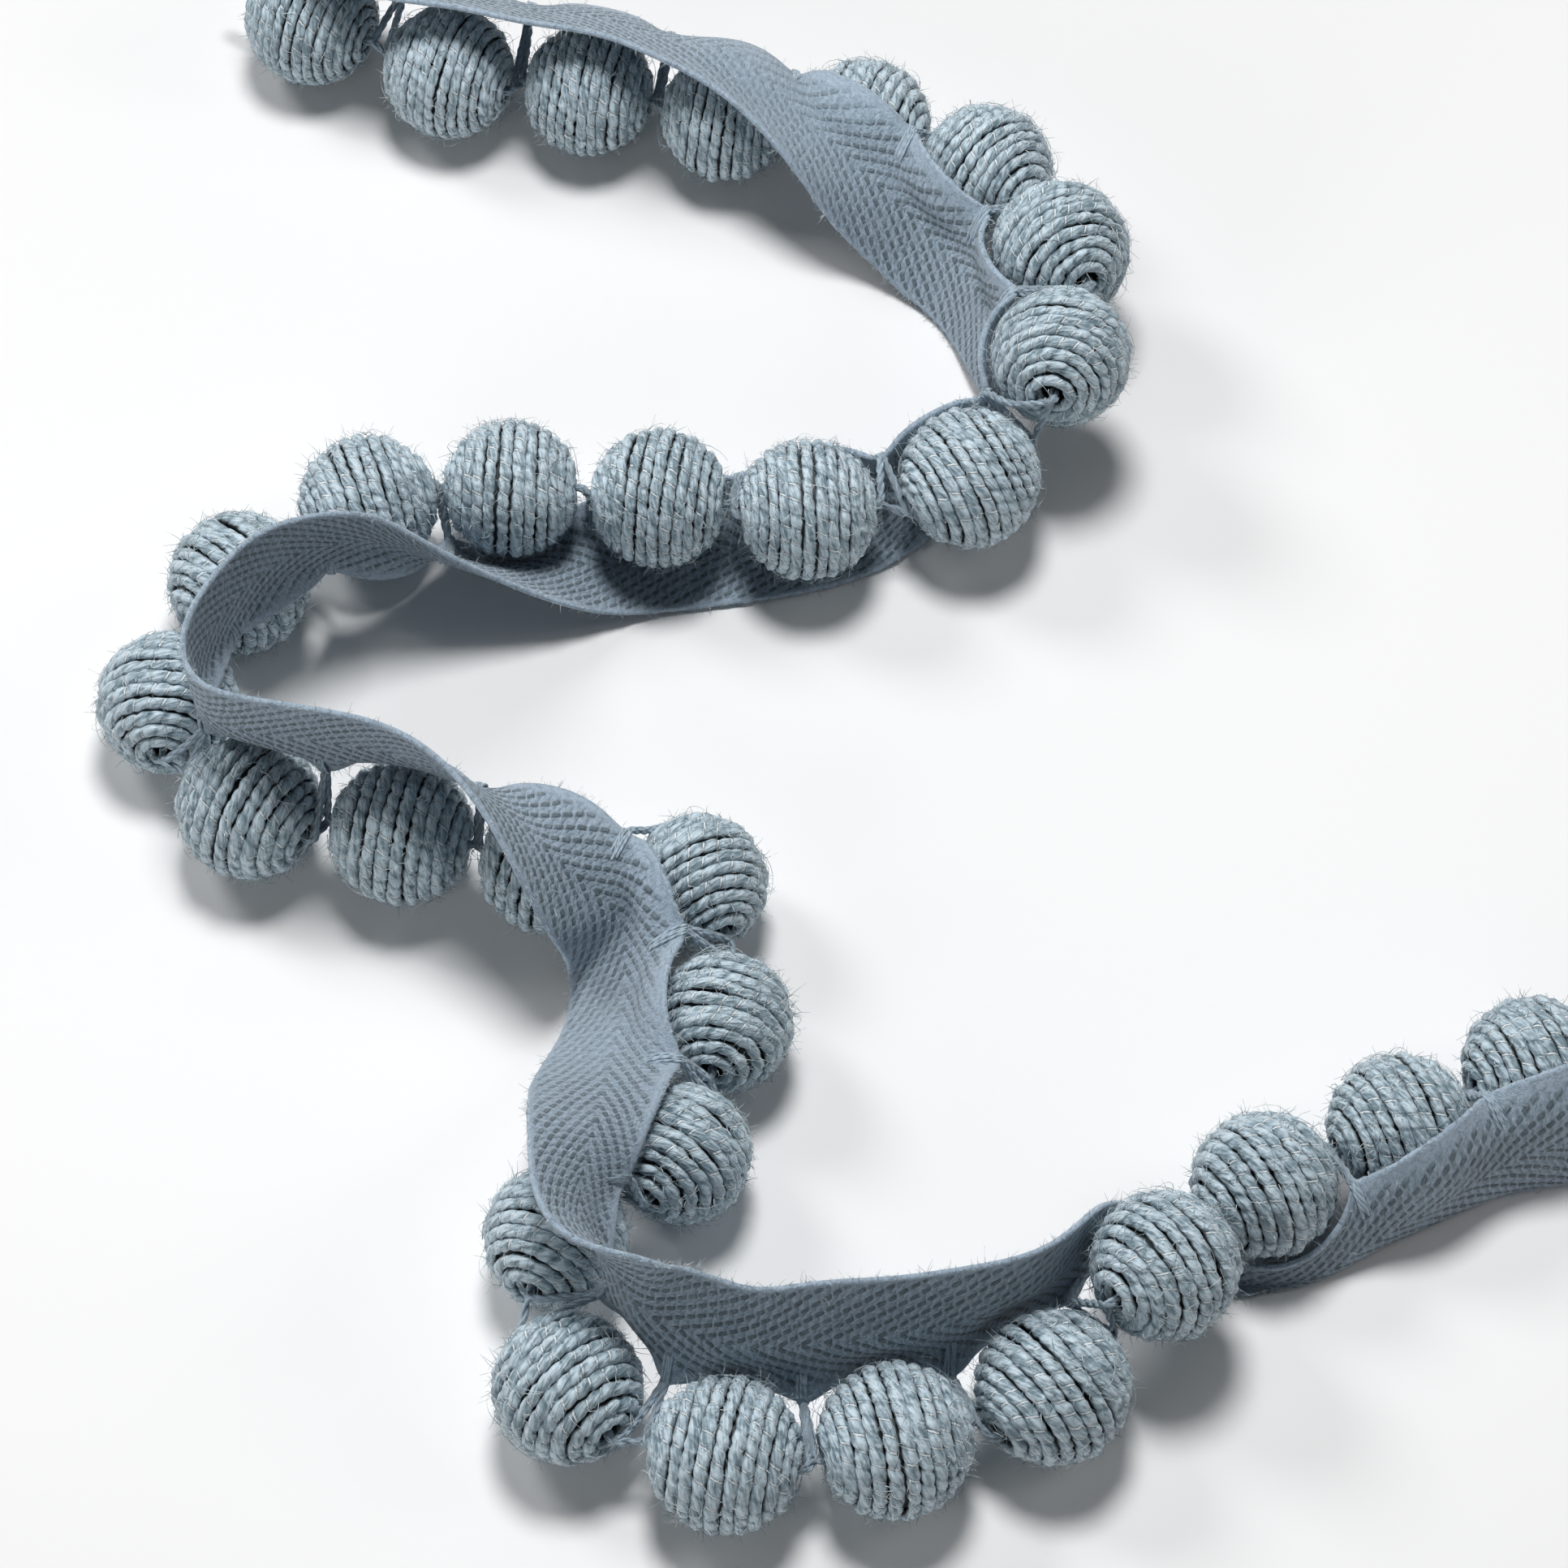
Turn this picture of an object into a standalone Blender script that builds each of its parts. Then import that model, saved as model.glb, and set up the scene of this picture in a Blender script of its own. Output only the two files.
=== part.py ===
"""Jute ball trim: thirty twine-wound balls strung along one edge of a twill tape, lying in a serpentine.

The tables are in millimetres and degrees, the model is in metres with +Z up, and the trim rests on Z = 0.
A place along the trim is a number: 1 to 30 are the ball centres, and the halves are the gaps between them.
"""

import math
from collections import namedtuple

import bpy
from mathutils import Matrix, Vector

MM = 0.001

BALL_TURNS = 12  # straight sides round a ball
BALL_ARC = 6  # straight sides from mouth to mouth
BORE_RADIUS = 1.2
MOUTH_RADIUS = 2.3
MOUTH_DEPTH = 1.3
SPOT_DEPTH = 0.3  # a resting ball is pressed flat by this much

TAPE_WIDTH = 14.5
TAPE_THICK = 1.0
TAPE_STEP = 0.2  # of a ball's pitch
TAPE_ACROSS = 5  # strips across the width
TAPE_CLEAR = 0.9  # from a ball's surface to the tape's face
TAPE_ROUNDS = 8  # rounds of pushing each point of it out of the balls
RELAX_ROUNDS = 3  # rounds of smoothing it along its length
RELAX_SHARE = 0.4  # how far a point then moves to the middle of its neighbours
NEAR_BALLS = 3  # balls looked at on each side of a place
HEADING_REACH = 0.25  # of a ball's pitch, over which the heading of the line is read

YARN_RADIUS = 0.35
YARN_CLEAR = 0.2
YARN_DEEP = 1.6  # the yarn is straight in the bore from this far inside the ball
YARN_STRAIGHT = 1.6  # bores further out of line than this send the yarn round the balls
YARN_DETOUR = 0.7
YARN_STEPS = 5
YARN_ROUNDS = 40
YARN_TAIL = 1.0

MERGE_REACH = 0.01
CUTTER_SIDE = 400.0  # the block that presses the resting spots flat
CUTTER_DEPTH = 10.0

# Plain colours of the three materials.
JUTE = (0.30, 0.40, 0.43)
TWILL = (0.28, 0.37, 0.46)
YARN = (0.30, 0.40, 0.45)

# One row per ball: its centre, the height of its underside, its radius, and where its bore heads and rises to.
Ball = namedtuple("Ball", "x y lift radius heading rise")
BALL_ROWS = [
    (-52.5, 99.5, 0.0, 7.5, -25, 0),
    (-37.0, 92.0, 0.0, 7.4, -20, 0),
    (-21.5, 89.5, 0.0, 7.3, -10, 0),
    (-6.5, 86.0, 0.0, 7.2, -10, 0),
    (9.0, 85.0, 0.0, 7.2, -20, 5),
    (22.0, 77.0, 1.5, 7.3, -48, 10),
    (29.5, 63.5, 5.0, 7.5, -65, 18),
    (29.0, 47.5, 8.0, 7.4, -100, 15),
    (19.5, 36.5, 1.5, 7.5, -150, -10),
    (2.5, 32.5, 1.5, 7.5, -175, 0),
    (-13.0, 34.0, 1.5, 7.4, 175, 0),
    (-28.5, 35.5, 1.2, 7.3, 180, 0),
    (-43.5, 34.0, 0.5, 7.4, -160, 0),
    (-56.5, 24.5, 0.0, 7.5, -130, 0),
    (-63.0, 10.0, 0.0, 7.4, -90, 5),
    (-54.0, -2.5, 0.0, 7.5, -30, 0),
    (-38.5, -5.5, 0.0, 7.5, -10, 0),
    (-23.5, -9.0, 0.0, 7.3, -15, 0),
    (-8.5, -11.0, 0.0, 7.0, -65, 0),
    (-6.0, -27.0, 0.0, 7.1, -100, 10),
    (-10.0, -41.5, 0.0, 7.0, -120, 10),
    (-22.0, -50.5, 0.0, 7.1, -110, 5),
    (-20.5, -66.5, 0.0, 7.4, -50, 5),
    (-5.5, -73.5, 0.0, 7.6, -10, 0),
    (10.5, -72.0, 0.0, 7.6, 15, 0),
    (25.5, -66.5, 0.0, 7.6, 40, 5),
    (36.2, -55.8, 4.2, 7.3, 40, -10),
    (46.5, -45.0, 0.0, 7.3, 35, 0),
    (60.0, -38.5, 0.0, 7.2, 25, 0),
    (73.5, -32.0, 0.0, 7.1, 25, 0),
]
BALLS = [Ball(*row) for row in BALL_ROWS]
RUN_IN = (-59.5, 105.5, 7.5)
RUN_OUT = (81.5, -28.5, 7.1)
MIDDLE = (6.71, 14.92)  # the point of the tables that the model's origin lies on

# The tape, one row per section. A section starts at the sewn edge, edge_out from the line through the balls.
# Angles turn round that line: 0 is the left-hand side of it, 90 is up, 180 the right-hand side.
# lean_in and lean_out are where the cloth heads at the sewn and at the free edge, and skew how far it
# is drawn forward along the line.
TapeRow = namedtuple("TapeRow", "place edge_out edge_turn lean_in lean_out skew")
TAPE_ROWS = [
    (0.4, 10.0, 12, 138, 138, 0),
    (1.5, 8.8, 12, 139, 139, 5),
    (2.0, 10.8, 12, 136, 136, 5),
    (2.5, 9.6, 12, 138, 138, 5),
    (3.0, 10.8, 12, 140, 140, 5),
    (3.5, 8.4, 14, 139, 139, 5),
    (4.0, 8.8, 8, 146, 146, 0),
    (4.5, 4.0, 38, 160, 160, -5),
    (5.0, 5.5, 100, 168, 228, -5),
    (5.5, 5.0, 120, 192, 236, 0),
    (6.0, 5.0, 142, 225, 225, 0),
    (6.5, 5.0, 160, 238, 238, 5),
    (7.0, 5.5, 168, 245, 245, 5),
    (7.5, 5.5, 170, 250, 250, 0),
    (8.0, 5.0, 170, 257, 257, -5),
    (8.5, 3.5, 188, 262, 265, -10),
    (9.0, 5.0, 176, 242, 318, -5),
    (9.5, 4.5, 170, 278, 325, 0),
    (10.0, 5.0, 185, 288, 338, 0),
    (10.5, 4.5, 200, 298, 345, 0),
    (11.0, 5.0, 220, 310, 358, 0),
    (11.5, 5.0, 245, 328, 388, -5),
    (12.0, 5.5, 272, 352, 422, 0),
    (12.5, 5.5, 310, 385, 445, 5),
    (13.0, 5.5, 345, 425, 440, 5),
    (13.5, 5.5, 370, 437, 442, 5),
    (14.0, 6.0, 390, 447, 447, 5),
    (14.5, 6.0, 395, 448, 448, 0),
    (15.0, 6.0, 405, 452, 452, 5),
    (15.5, 3.0, 440, 455, 455, 5),
    (16.0, 5.5, 420, 455, 455, 0),
    (16.5, 6.0, 415, 457, 457, 0),
    (17.0, 6.0, 410, 460, 460, 0),
    (17.5, 6.0, 405, 475, 475, 0),
    (18.0, 5.5, 415, 503, 503, -5),
    (18.5, 5.0, 440, 540, 540, -30),
    (19.0, 5.5, 480, 568, 568, -15),
    (19.5, 5.5, 495, 580, 580, 5),
    (20.0, 5.5, 495, 572, 572, 5),
    (20.5, 5.5, 485, 550, 550, 15),
    (21.0, 5.5, 465, 510, 510, 38),
    (21.5, 6.0, 435, 448, 448, 45),
    (22.0, 6.0, 403, 438, 438, 30),
    (22.5, 6.0, 382, 432, 432, 10),
    (23.0, 5.5, 370, 425, 425, 5),
    (23.5, 5.5, 366, 424, 424, 5),
    (24.0, 6.8, 336, 428, 428, 5),
    (24.5, 5.5, 362, 424, 424, 5),
    (25.0, 6.8, 336, 430, 430, 8),
    (25.5, 5.5, 350, 432, 432, 14),
    (26.0, 5.5, 340, 443, 443, 28),
    (26.2, 5.5, 338, 435, 425, 42),
    (26.4, 5.5, 335, 380, 360, 58),
    (26.6, 5.5, 333, 335, 315, 66),
    (26.8, 6.0, 332, 295, 270, 58),
    (27.0, 6.5, 330, 265, 212, 20),
    (27.5, 5.5, 260, 230, 265, 0),
    (28.0, 5.5, 200, 208, 322, 0),
    (28.5, 4.5, 155, 205, 310, 5),
    (29.0, 5.0, 130, 208, 293, 5),
    (29.5, 5.0, 118, 208, 280, 5),
    (30.0, 5.5, 120, 210, 263, 0),
    (30.6, 6.0, 125, 213, 256, 0),
]
TAPE = [TapeRow(*row) for row in TAPE_ROWS]


def clear_scene():
    for old in list(bpy.data.objects):
        bpy.data.objects.remove(old, do_unlink=True)
    for old in list(bpy.data.collections):
        bpy.data.collections.remove(old)


def new_collection(name, shown=True):
    made = bpy.data.collections.new(name)
    made.hide_render = not shown
    bpy.context.scene.collection.children.link(made)
    return made


def add_origin(collection):
    """The empty that every piece hangs on. It carries the middle of the trim to the model's origin."""
    origin = bpy.data.objects.new("trim_origin", None)
    origin.location = (-MIDDLE[0] * MM, -MIDDLE[1] * MM, 0.0)
    collection.objects.link(origin)
    return origin


def plain_material(name, colour, roughness):
    made = bpy.data.materials.new(name)
    made.use_nodes = True
    shader = made.node_tree.nodes["Principled BSDF"]
    shader.inputs["Base Color"].default_value = (*colour, 1.0)
    shader.inputs["Roughness"].default_value = roughness
    made.diffuse_color = (*colour, 1.0)
    return made


def ball_centre(ball):
    """A ball that rests on the surface is sunk by the depth of its flat spot."""
    pressed = SPOT_DEPTH if ball.lift == 0.0 else 0.0
    return Vector((ball.x, ball.y, ball.lift + ball.radius - pressed))


def bore_line(ball):
    """The way along the bore, pointing to the next ball."""
    heading = math.radians(ball.heading)
    rise = math.radians(ball.rise)
    flat = math.cos(rise)
    return Vector((flat * math.cos(heading), flat * math.sin(heading), math.sin(rise)))


CENTRES = [ball_centre(ball) for ball in BALLS]
KNOTS = [Vector(RUN_IN)] + CENTRES + [Vector(RUN_OUT)]


def eased(before, start, end, after, share):
    """A smooth way from start to end that leaves and arrives in line with the points beyond them."""
    leave = (end - before) * 0.5
    arrive = (after - start) * 0.5
    s2 = share * share
    s3 = s2 * share
    return (
        start * (2 * s3 - 3 * s2 + 1)
        + leave * (s3 - 2 * s2 + share)
        + end * (3 * s2 - 2 * s3)
        + arrive * (s3 - s2)
    )


def line_point(place):
    """The point at this place on the line through the balls."""
    place = min(max(place, 0.0), len(KNOTS) - 1.0)
    k = min(int(place), len(KNOTS) - 2)
    before = KNOTS[max(k - 1, 0)]
    after = KNOTS[min(k + 2, len(KNOTS) - 1)]
    return eased(before, KNOTS[k], KNOTS[k + 1], after, place - k)


def line_frame(place):
    """The level directions forward along the line and to its left."""
    forward = line_point(place + HEADING_REACH) - line_point(place - HEADING_REACH)
    forward.z = 0.0
    forward.normalize()
    return forward, Vector((-forward.y, forward.x, 0.0))


def tape_row(place):
    """The tape table read at any place, eased from row to row."""
    k = 0
    while k < len(TAPE) - 2 and TAPE[k + 1].place <= place:
        k += 1
    start = Vector(TAPE[k])
    end = Vector(TAPE[k + 1])
    span = end[0] - start[0]
    share = (place - start[0]) / span
    before = Vector(TAPE[max(k - 1, 0)])
    after = Vector(TAPE[min(k + 2, len(TAPE) - 1)])
    leave = (end - before) * (span / (end[0] - before[0]))
    arrive = (after - start) * (span / (after[0] - start[0]))
    s2 = share * share
    s3 = s2 * share
    return (
        start * (2 * s3 - 3 * s2 + 1)
        + leave * (s3 - 2 * s2 + share)
        + end * (3 * s2 - 2 * s3)
        + arrive * (s3 - s2)
    )


def turned(forward, side, angle, skew=0.0):
    """A direction at this angle round the line, drawn forward by the skew."""
    around = side * math.cos(angle) + Vector((0.0, 0.0, math.sin(angle)))
    return around * math.cos(skew) + forward * math.sin(skew)


def pushed_clear(point, place, clear, lowest, rounds=TAPE_ROUNDS):
    """The point moved out of the balls near this place and up off the surface."""
    first = max(0, int(place) - NEAR_BALLS)
    last = int(place) + NEAR_BALLS
    for _ in range(rounds):
        for ball, centre in zip(BALLS[first:last], CENTRES[first:last]):
            away = point - centre
            if away.length < ball.radius + clear:
                point = centre + away.normalized() * (ball.radius + clear)
        point.z = max(point.z, lowest)
    return point


def tape_section(place):
    """The middle of the cloth across its width, from the sewn edge to the free edge."""
    _, edge_out, edge_turn, lean_in, lean_out, skew = tape_row(place)
    forward, side = line_frame(place)
    point = line_point(place) + turned(forward, side, math.radians(edge_turn)) * edge_out
    section = [point]
    for k in range(TAPE_ACROSS):
        share = (k + 0.5) / TAPE_ACROSS
        lean = math.radians(lean_in + (lean_out - lean_in) * share)
        step = turned(forward, side, lean, math.radians(skew))
        point = point + step * (TAPE_WIDTH / TAPE_ACROSS)
        section.append(point)
    return section


def tape_places():
    count = round((TAPE[-1].place - TAPE[0].place) / TAPE_STEP)
    return [TAPE[0].place + (TAPE[-1].place - TAPE[0].place) * k / count for k in range(count + 1)]


def settled(places, sections):
    """The sections pushed clear of the balls and the surface, and smoothed along the tape."""
    clear = TAPE_CLEAR + TAPE_THICK / 2
    for _ in range(RELAX_ROUNDS):
        for place, section in zip(places, sections):
            section[:] = [pushed_clear(p, place, clear, TAPE_THICK / 2) for p in section]
        smooth = [list(section) for section in sections]
        for k in range(1, len(sections) - 1):
            for j in range(len(sections[k])):
                beside = (sections[k - 1][j] + sections[k + 1][j]) * 0.5
                smooth[k][j] = sections[k][j].lerp(beside, RELAX_SHARE)
        sections = smooth
    for place, section in zip(places, sections):
        section[:] = [pushed_clear(p, place, clear, TAPE_THICK / 2) for p in section]
    return sections


def add_tape(collection, material):
    """The tape: one open sheet through the sections, given its thickness."""
    places = tape_places()
    sections = settled(places, [tape_section(place) for place in places])
    points = [p * MM for section in sections for p in section]
    wide = TAPE_ACROSS + 1
    faces = []
    for k in range(len(sections) - 1):
        for j in range(TAPE_ACROSS):
            a = k * wide + j
            faces.append((a, a + 1, a + wide + 1, a + wide))
    mesh = bpy.data.meshes.new("tape")
    mesh.from_pydata(points, [], faces)
    mesh.polygons.foreach_set("use_smooth", [True] * len(faces))
    tape = bpy.data.objects.new("tape", mesh)
    tape.data.materials.append(material)
    collection.objects.link(tape)
    thick = tape.modifiers.new("thickness", "SOLIDIFY")
    thick.thickness = TAPE_THICK * MM
    thick.offset = 0.0
    return tape


def ball_profile(radius):
    """Half the ball's outline: bore, flared mouths and outer round, run from the top down on the outside."""
    mouth_height = math.sqrt(radius**2 - MOUTH_RADIUS**2)
    start = math.atan2(mouth_height, MOUTH_RADIUS)
    outline = []
    for k in range(BALL_ARC + 1):
        angle = start - 2 * start * k / BALL_ARC
        outline.append((radius * math.cos(angle), radius * math.sin(angle)))
    outline.append((BORE_RADIUS, -(mouth_height - MOUTH_DEPTH)))
    outline.append((BORE_RADIUS, mouth_height - MOUTH_DEPTH))
    return outline


def add_floor_cutter(collection):
    """A block whose top is the surface that the trim lies on."""
    bpy.ops.mesh.primitive_cube_add(size=1.0, location=(0.0, 0.0, -CUTTER_DEPTH / 2 * MM))
    block = bpy.context.object
    block.name = "floor_cutter"
    block.scale = (CUTTER_SIDE * MM, CUTTER_SIDE * MM, CUTTER_DEPTH * MM)
    block.display_type = "WIRE"
    block.hide_render = True
    for owner in list(block.users_collection):
        owner.objects.unlink(block)
    collection.objects.link(block)
    return block


def ball_stand(ball):
    """The ball's turn from its bore's level to its own, with one of its sides pointing straight down."""
    along = bore_line(ball)
    level = Vector((0.0, 0.0, 1.0)).cross(along).normalized()
    down = level.cross(along)
    return Matrix((down, along.cross(down), along)).transposed().to_quaternion()


def add_ball(number, ball, collection, material, cutter):
    """One wound ball: its outline turned round the bore, and its resting spot cut flat."""
    radius = ball.radius
    outline = ball_profile(radius)
    count = len(outline)
    mesh = bpy.data.meshes.new(f"ball_{number:02d}")
    mesh.from_pydata(
        [(x * MM, 0.0, z * MM) for x, z in outline],
        [(k, (k + 1) % count) for k in range(count)],
        [],
    )
    made = bpy.data.objects.new(f"ball_{number:02d}", mesh)
    made.data.materials.append(material)
    collection.objects.link(made)
    turn = made.modifiers.new("turn", "SCREW")
    turn.axis = "Z"
    turn.steps = BALL_TURNS
    turn.render_steps = BALL_TURNS
    turn.use_merge_vertices = True
    turn.merge_threshold = MERGE_REACH * MM
    turn.use_smooth_shade = True
    made.rotation_mode = "QUATERNION"
    made.rotation_quaternion = ball_stand(ball)
    made.location = ball_centre(ball) * MM
    if ball.lift == 0.0:
        spot = made.modifiers.new("resting spot", "BOOLEAN")
        spot.operation = "DIFFERENCE"
        spot.solver = "EXACT"
        spot.object = cutter
    return made


def gap_points(number):
    """The yarn from one ball to the next. Where the two bores don't face each other it goes round the balls."""
    before = BALLS[number - 1]
    after = BALLS[number]
    out = bore_line(before)
    back = -bore_line(after)
    leaving = ball_centre(before) + out * before.radius
    arriving = ball_centre(after) + back * after.radius
    between = (ball_centre(after) - ball_centre(before)).normalized()
    reach = arriving - leaving
    sideways = reach - between * reach.dot(between)
    path = [leaving, arriving]
    if sideways.length > YARN_STRAIGHT:
        start = leaving + out * YARN_DETOUR
        end = arriving + back * YARN_DETOUR
        clear = YARN_RADIUS + YARN_CLEAR
        path = [start.lerp(end, k / YARN_STEPS) for k in range(YARN_STEPS + 1)]
        path = [pushed_clear(p, number + 0.5, clear, clear, YARN_ROUNDS) for p in path]
    return [leaving - out * YARN_DEEP, *path, arriving - back * YARN_DEEP]


def yarn_points():
    """The whole stringing yarn, from before the first ball to past the last one."""
    first = BALLS[0]
    last = BALLS[-1]
    points = [ball_centre(first) - bore_line(first) * (first.radius + YARN_TAIL)]
    for number in range(1, len(BALLS)):
        points += gap_points(number)
    points.append(ball_centre(last) + bore_line(last) * (last.radius + YARN_TAIL))
    return points


def add_yarn(collection, material):
    """The stringing yarn as one round tube."""
    points = yarn_points()
    curve = bpy.data.curves.new("stringing_yarn", "CURVE")
    curve.dimensions = "3D"
    curve.bevel_depth = YARN_RADIUS * MM
    curve.bevel_resolution = 1
    curve.use_fill_caps = True
    spline = curve.splines.new("POLY")
    spline.points.add(len(points) - 1)
    for point, place in zip(spline.points, points):
        point.co = (*(place * MM), 1.0)
    yarn = bpy.data.objects.new("stringing_yarn", curve)
    yarn.data.materials.append(material)
    collection.objects.link(yarn)
    return yarn


def main():
    clear_scene()
    trim = new_collection("jute_ball_trim")
    cutters = new_collection("cutters", shown=False)
    jute = plain_material("jute", JUTE, 0.9)
    twill = plain_material("twill", TWILL, 0.85)
    strung = plain_material("yarn", YARN, 0.9)
    origin = add_origin(trim)
    cutter = add_floor_cutter(cutters)
    pieces = [add_ball(number, ball, trim, jute, cutter) for number, ball in enumerate(BALLS, 1)]
    pieces.append(add_tape(trim, twill))
    pieces.append(add_yarn(trim, strung))
    for piece in pieces:
        piece.parent = origin


main()
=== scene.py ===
"""The looks of the jute ball trim: balls wound with twine, a herringbone tape, and the yarn between them.

The tables are in millimetres and degrees, as in the trim's own layout, and the scene is in metres.
A place along the trim is a number: 1 to 30 are the ball centres, and the halves are the gaps between them.
"""

import math
from collections import namedtuple

import bpy
import numpy as np
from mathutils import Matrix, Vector


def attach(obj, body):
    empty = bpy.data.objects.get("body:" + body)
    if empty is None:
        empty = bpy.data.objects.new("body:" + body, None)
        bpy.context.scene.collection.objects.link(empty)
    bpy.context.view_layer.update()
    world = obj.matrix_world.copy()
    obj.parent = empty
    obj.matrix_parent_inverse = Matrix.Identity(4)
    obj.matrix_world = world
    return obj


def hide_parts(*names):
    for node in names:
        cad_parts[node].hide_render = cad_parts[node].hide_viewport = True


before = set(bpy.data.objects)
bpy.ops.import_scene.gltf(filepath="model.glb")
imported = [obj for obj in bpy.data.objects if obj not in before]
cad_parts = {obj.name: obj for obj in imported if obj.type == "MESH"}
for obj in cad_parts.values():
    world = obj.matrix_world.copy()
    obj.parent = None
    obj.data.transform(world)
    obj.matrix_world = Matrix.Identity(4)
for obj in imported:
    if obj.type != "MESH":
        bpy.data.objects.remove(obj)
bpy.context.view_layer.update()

MM = 0.001

# The trim's layout.
SPOT_DEPTH = 0.3  # a resting ball is pressed flat by this much
TAPE_WIDTH = 14.5
TAPE_THICK = 1.0  # the room that the layout gives it
TAPE_STEP = 0.2  # of a ball's pitch
TAPE_ACROSS = 5  # strips across the width
TAPE_CLEAR = 0.9  # from a ball's surface to the tape's face
TAPE_ROUNDS = 8  # rounds of pushing it out of the balls
RELAX_ROUNDS = 3  # rounds of smoothing it along its length
RELAX_SHARE = 0.4  # how far a point moves between its neighbours
NEAR_BALLS = 3  # balls looked at on each side of a place
HEADING_REACH = 0.25  # of a pitch, over which the line's heading is read
MIDDLE = (6.71, 14.92)  # the point of the tables that the model's origin lies on

# One row per ball: centre, height of the underside, radius, and the bore's heading and rise.
Ball = namedtuple("Ball", "x y lift radius heading rise")
BALL_ROWS = [
    (-52.5, 99.5, 0.0, 7.5, -25, 0),
    (-37.0, 92.0, 0.0, 7.4, -20, 0),
    (-21.5, 89.5, 0.0, 7.3, -10, 0),
    (-6.5, 86.0, 0.0, 7.2, -10, 0),
    (9.0, 85.0, 0.0, 7.2, -20, 5),
    (22.0, 77.0, 1.5, 7.3, -48, 10),
    (29.5, 63.5, 5.0, 7.5, -65, 18),
    (29.0, 47.5, 8.0, 7.4, -100, 15),
    (19.5, 36.5, 1.5, 7.5, -150, -10),
    (2.5, 32.5, 1.5, 7.5, -175, 0),
    (-13.0, 34.0, 1.5, 7.4, 175, 0),
    (-28.5, 35.5, 1.2, 7.3, 180, 0),
    (-43.5, 34.0, 0.5, 7.4, -160, 0),
    (-56.5, 24.5, 0.0, 7.5, -130, 0),
    (-63.0, 10.0, 0.0, 7.4, -90, 5),
    (-54.0, -2.5, 0.0, 7.5, -30, 0),
    (-38.5, -5.5, 0.0, 7.5, -10, 0),
    (-23.5, -9.0, 0.0, 7.3, -15, 0),
    (-8.5, -11.0, 0.0, 7.0, -65, 0),
    (-6.0, -27.0, 0.0, 7.1, -100, 10),
    (-10.0, -41.5, 0.0, 7.0, -120, 10),
    (-22.0, -50.5, 0.0, 7.1, -110, 5),
    (-20.5, -66.5, 0.0, 7.4, -50, 5),
    (-5.5, -73.5, 0.0, 7.6, -10, 0),
    (10.5, -72.0, 0.0, 7.6, 15, 0),
    (25.5, -66.5, 0.0, 7.6, 40, 5),
    (36.2, -55.8, 4.2, 7.3, 40, -10),
    (46.5, -45.0, 0.0, 7.3, 35, 0),
    (60.0, -38.5, 0.0, 7.2, 25, 0),
    (73.5, -32.0, 0.0, 7.1, 25, 0),
]
BALLS = [Ball(*row) for row in BALL_ROWS]
RUN_IN = (-59.5, 105.5, 7.5)
RUN_OUT = (81.5, -28.5, 7.1)

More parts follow.
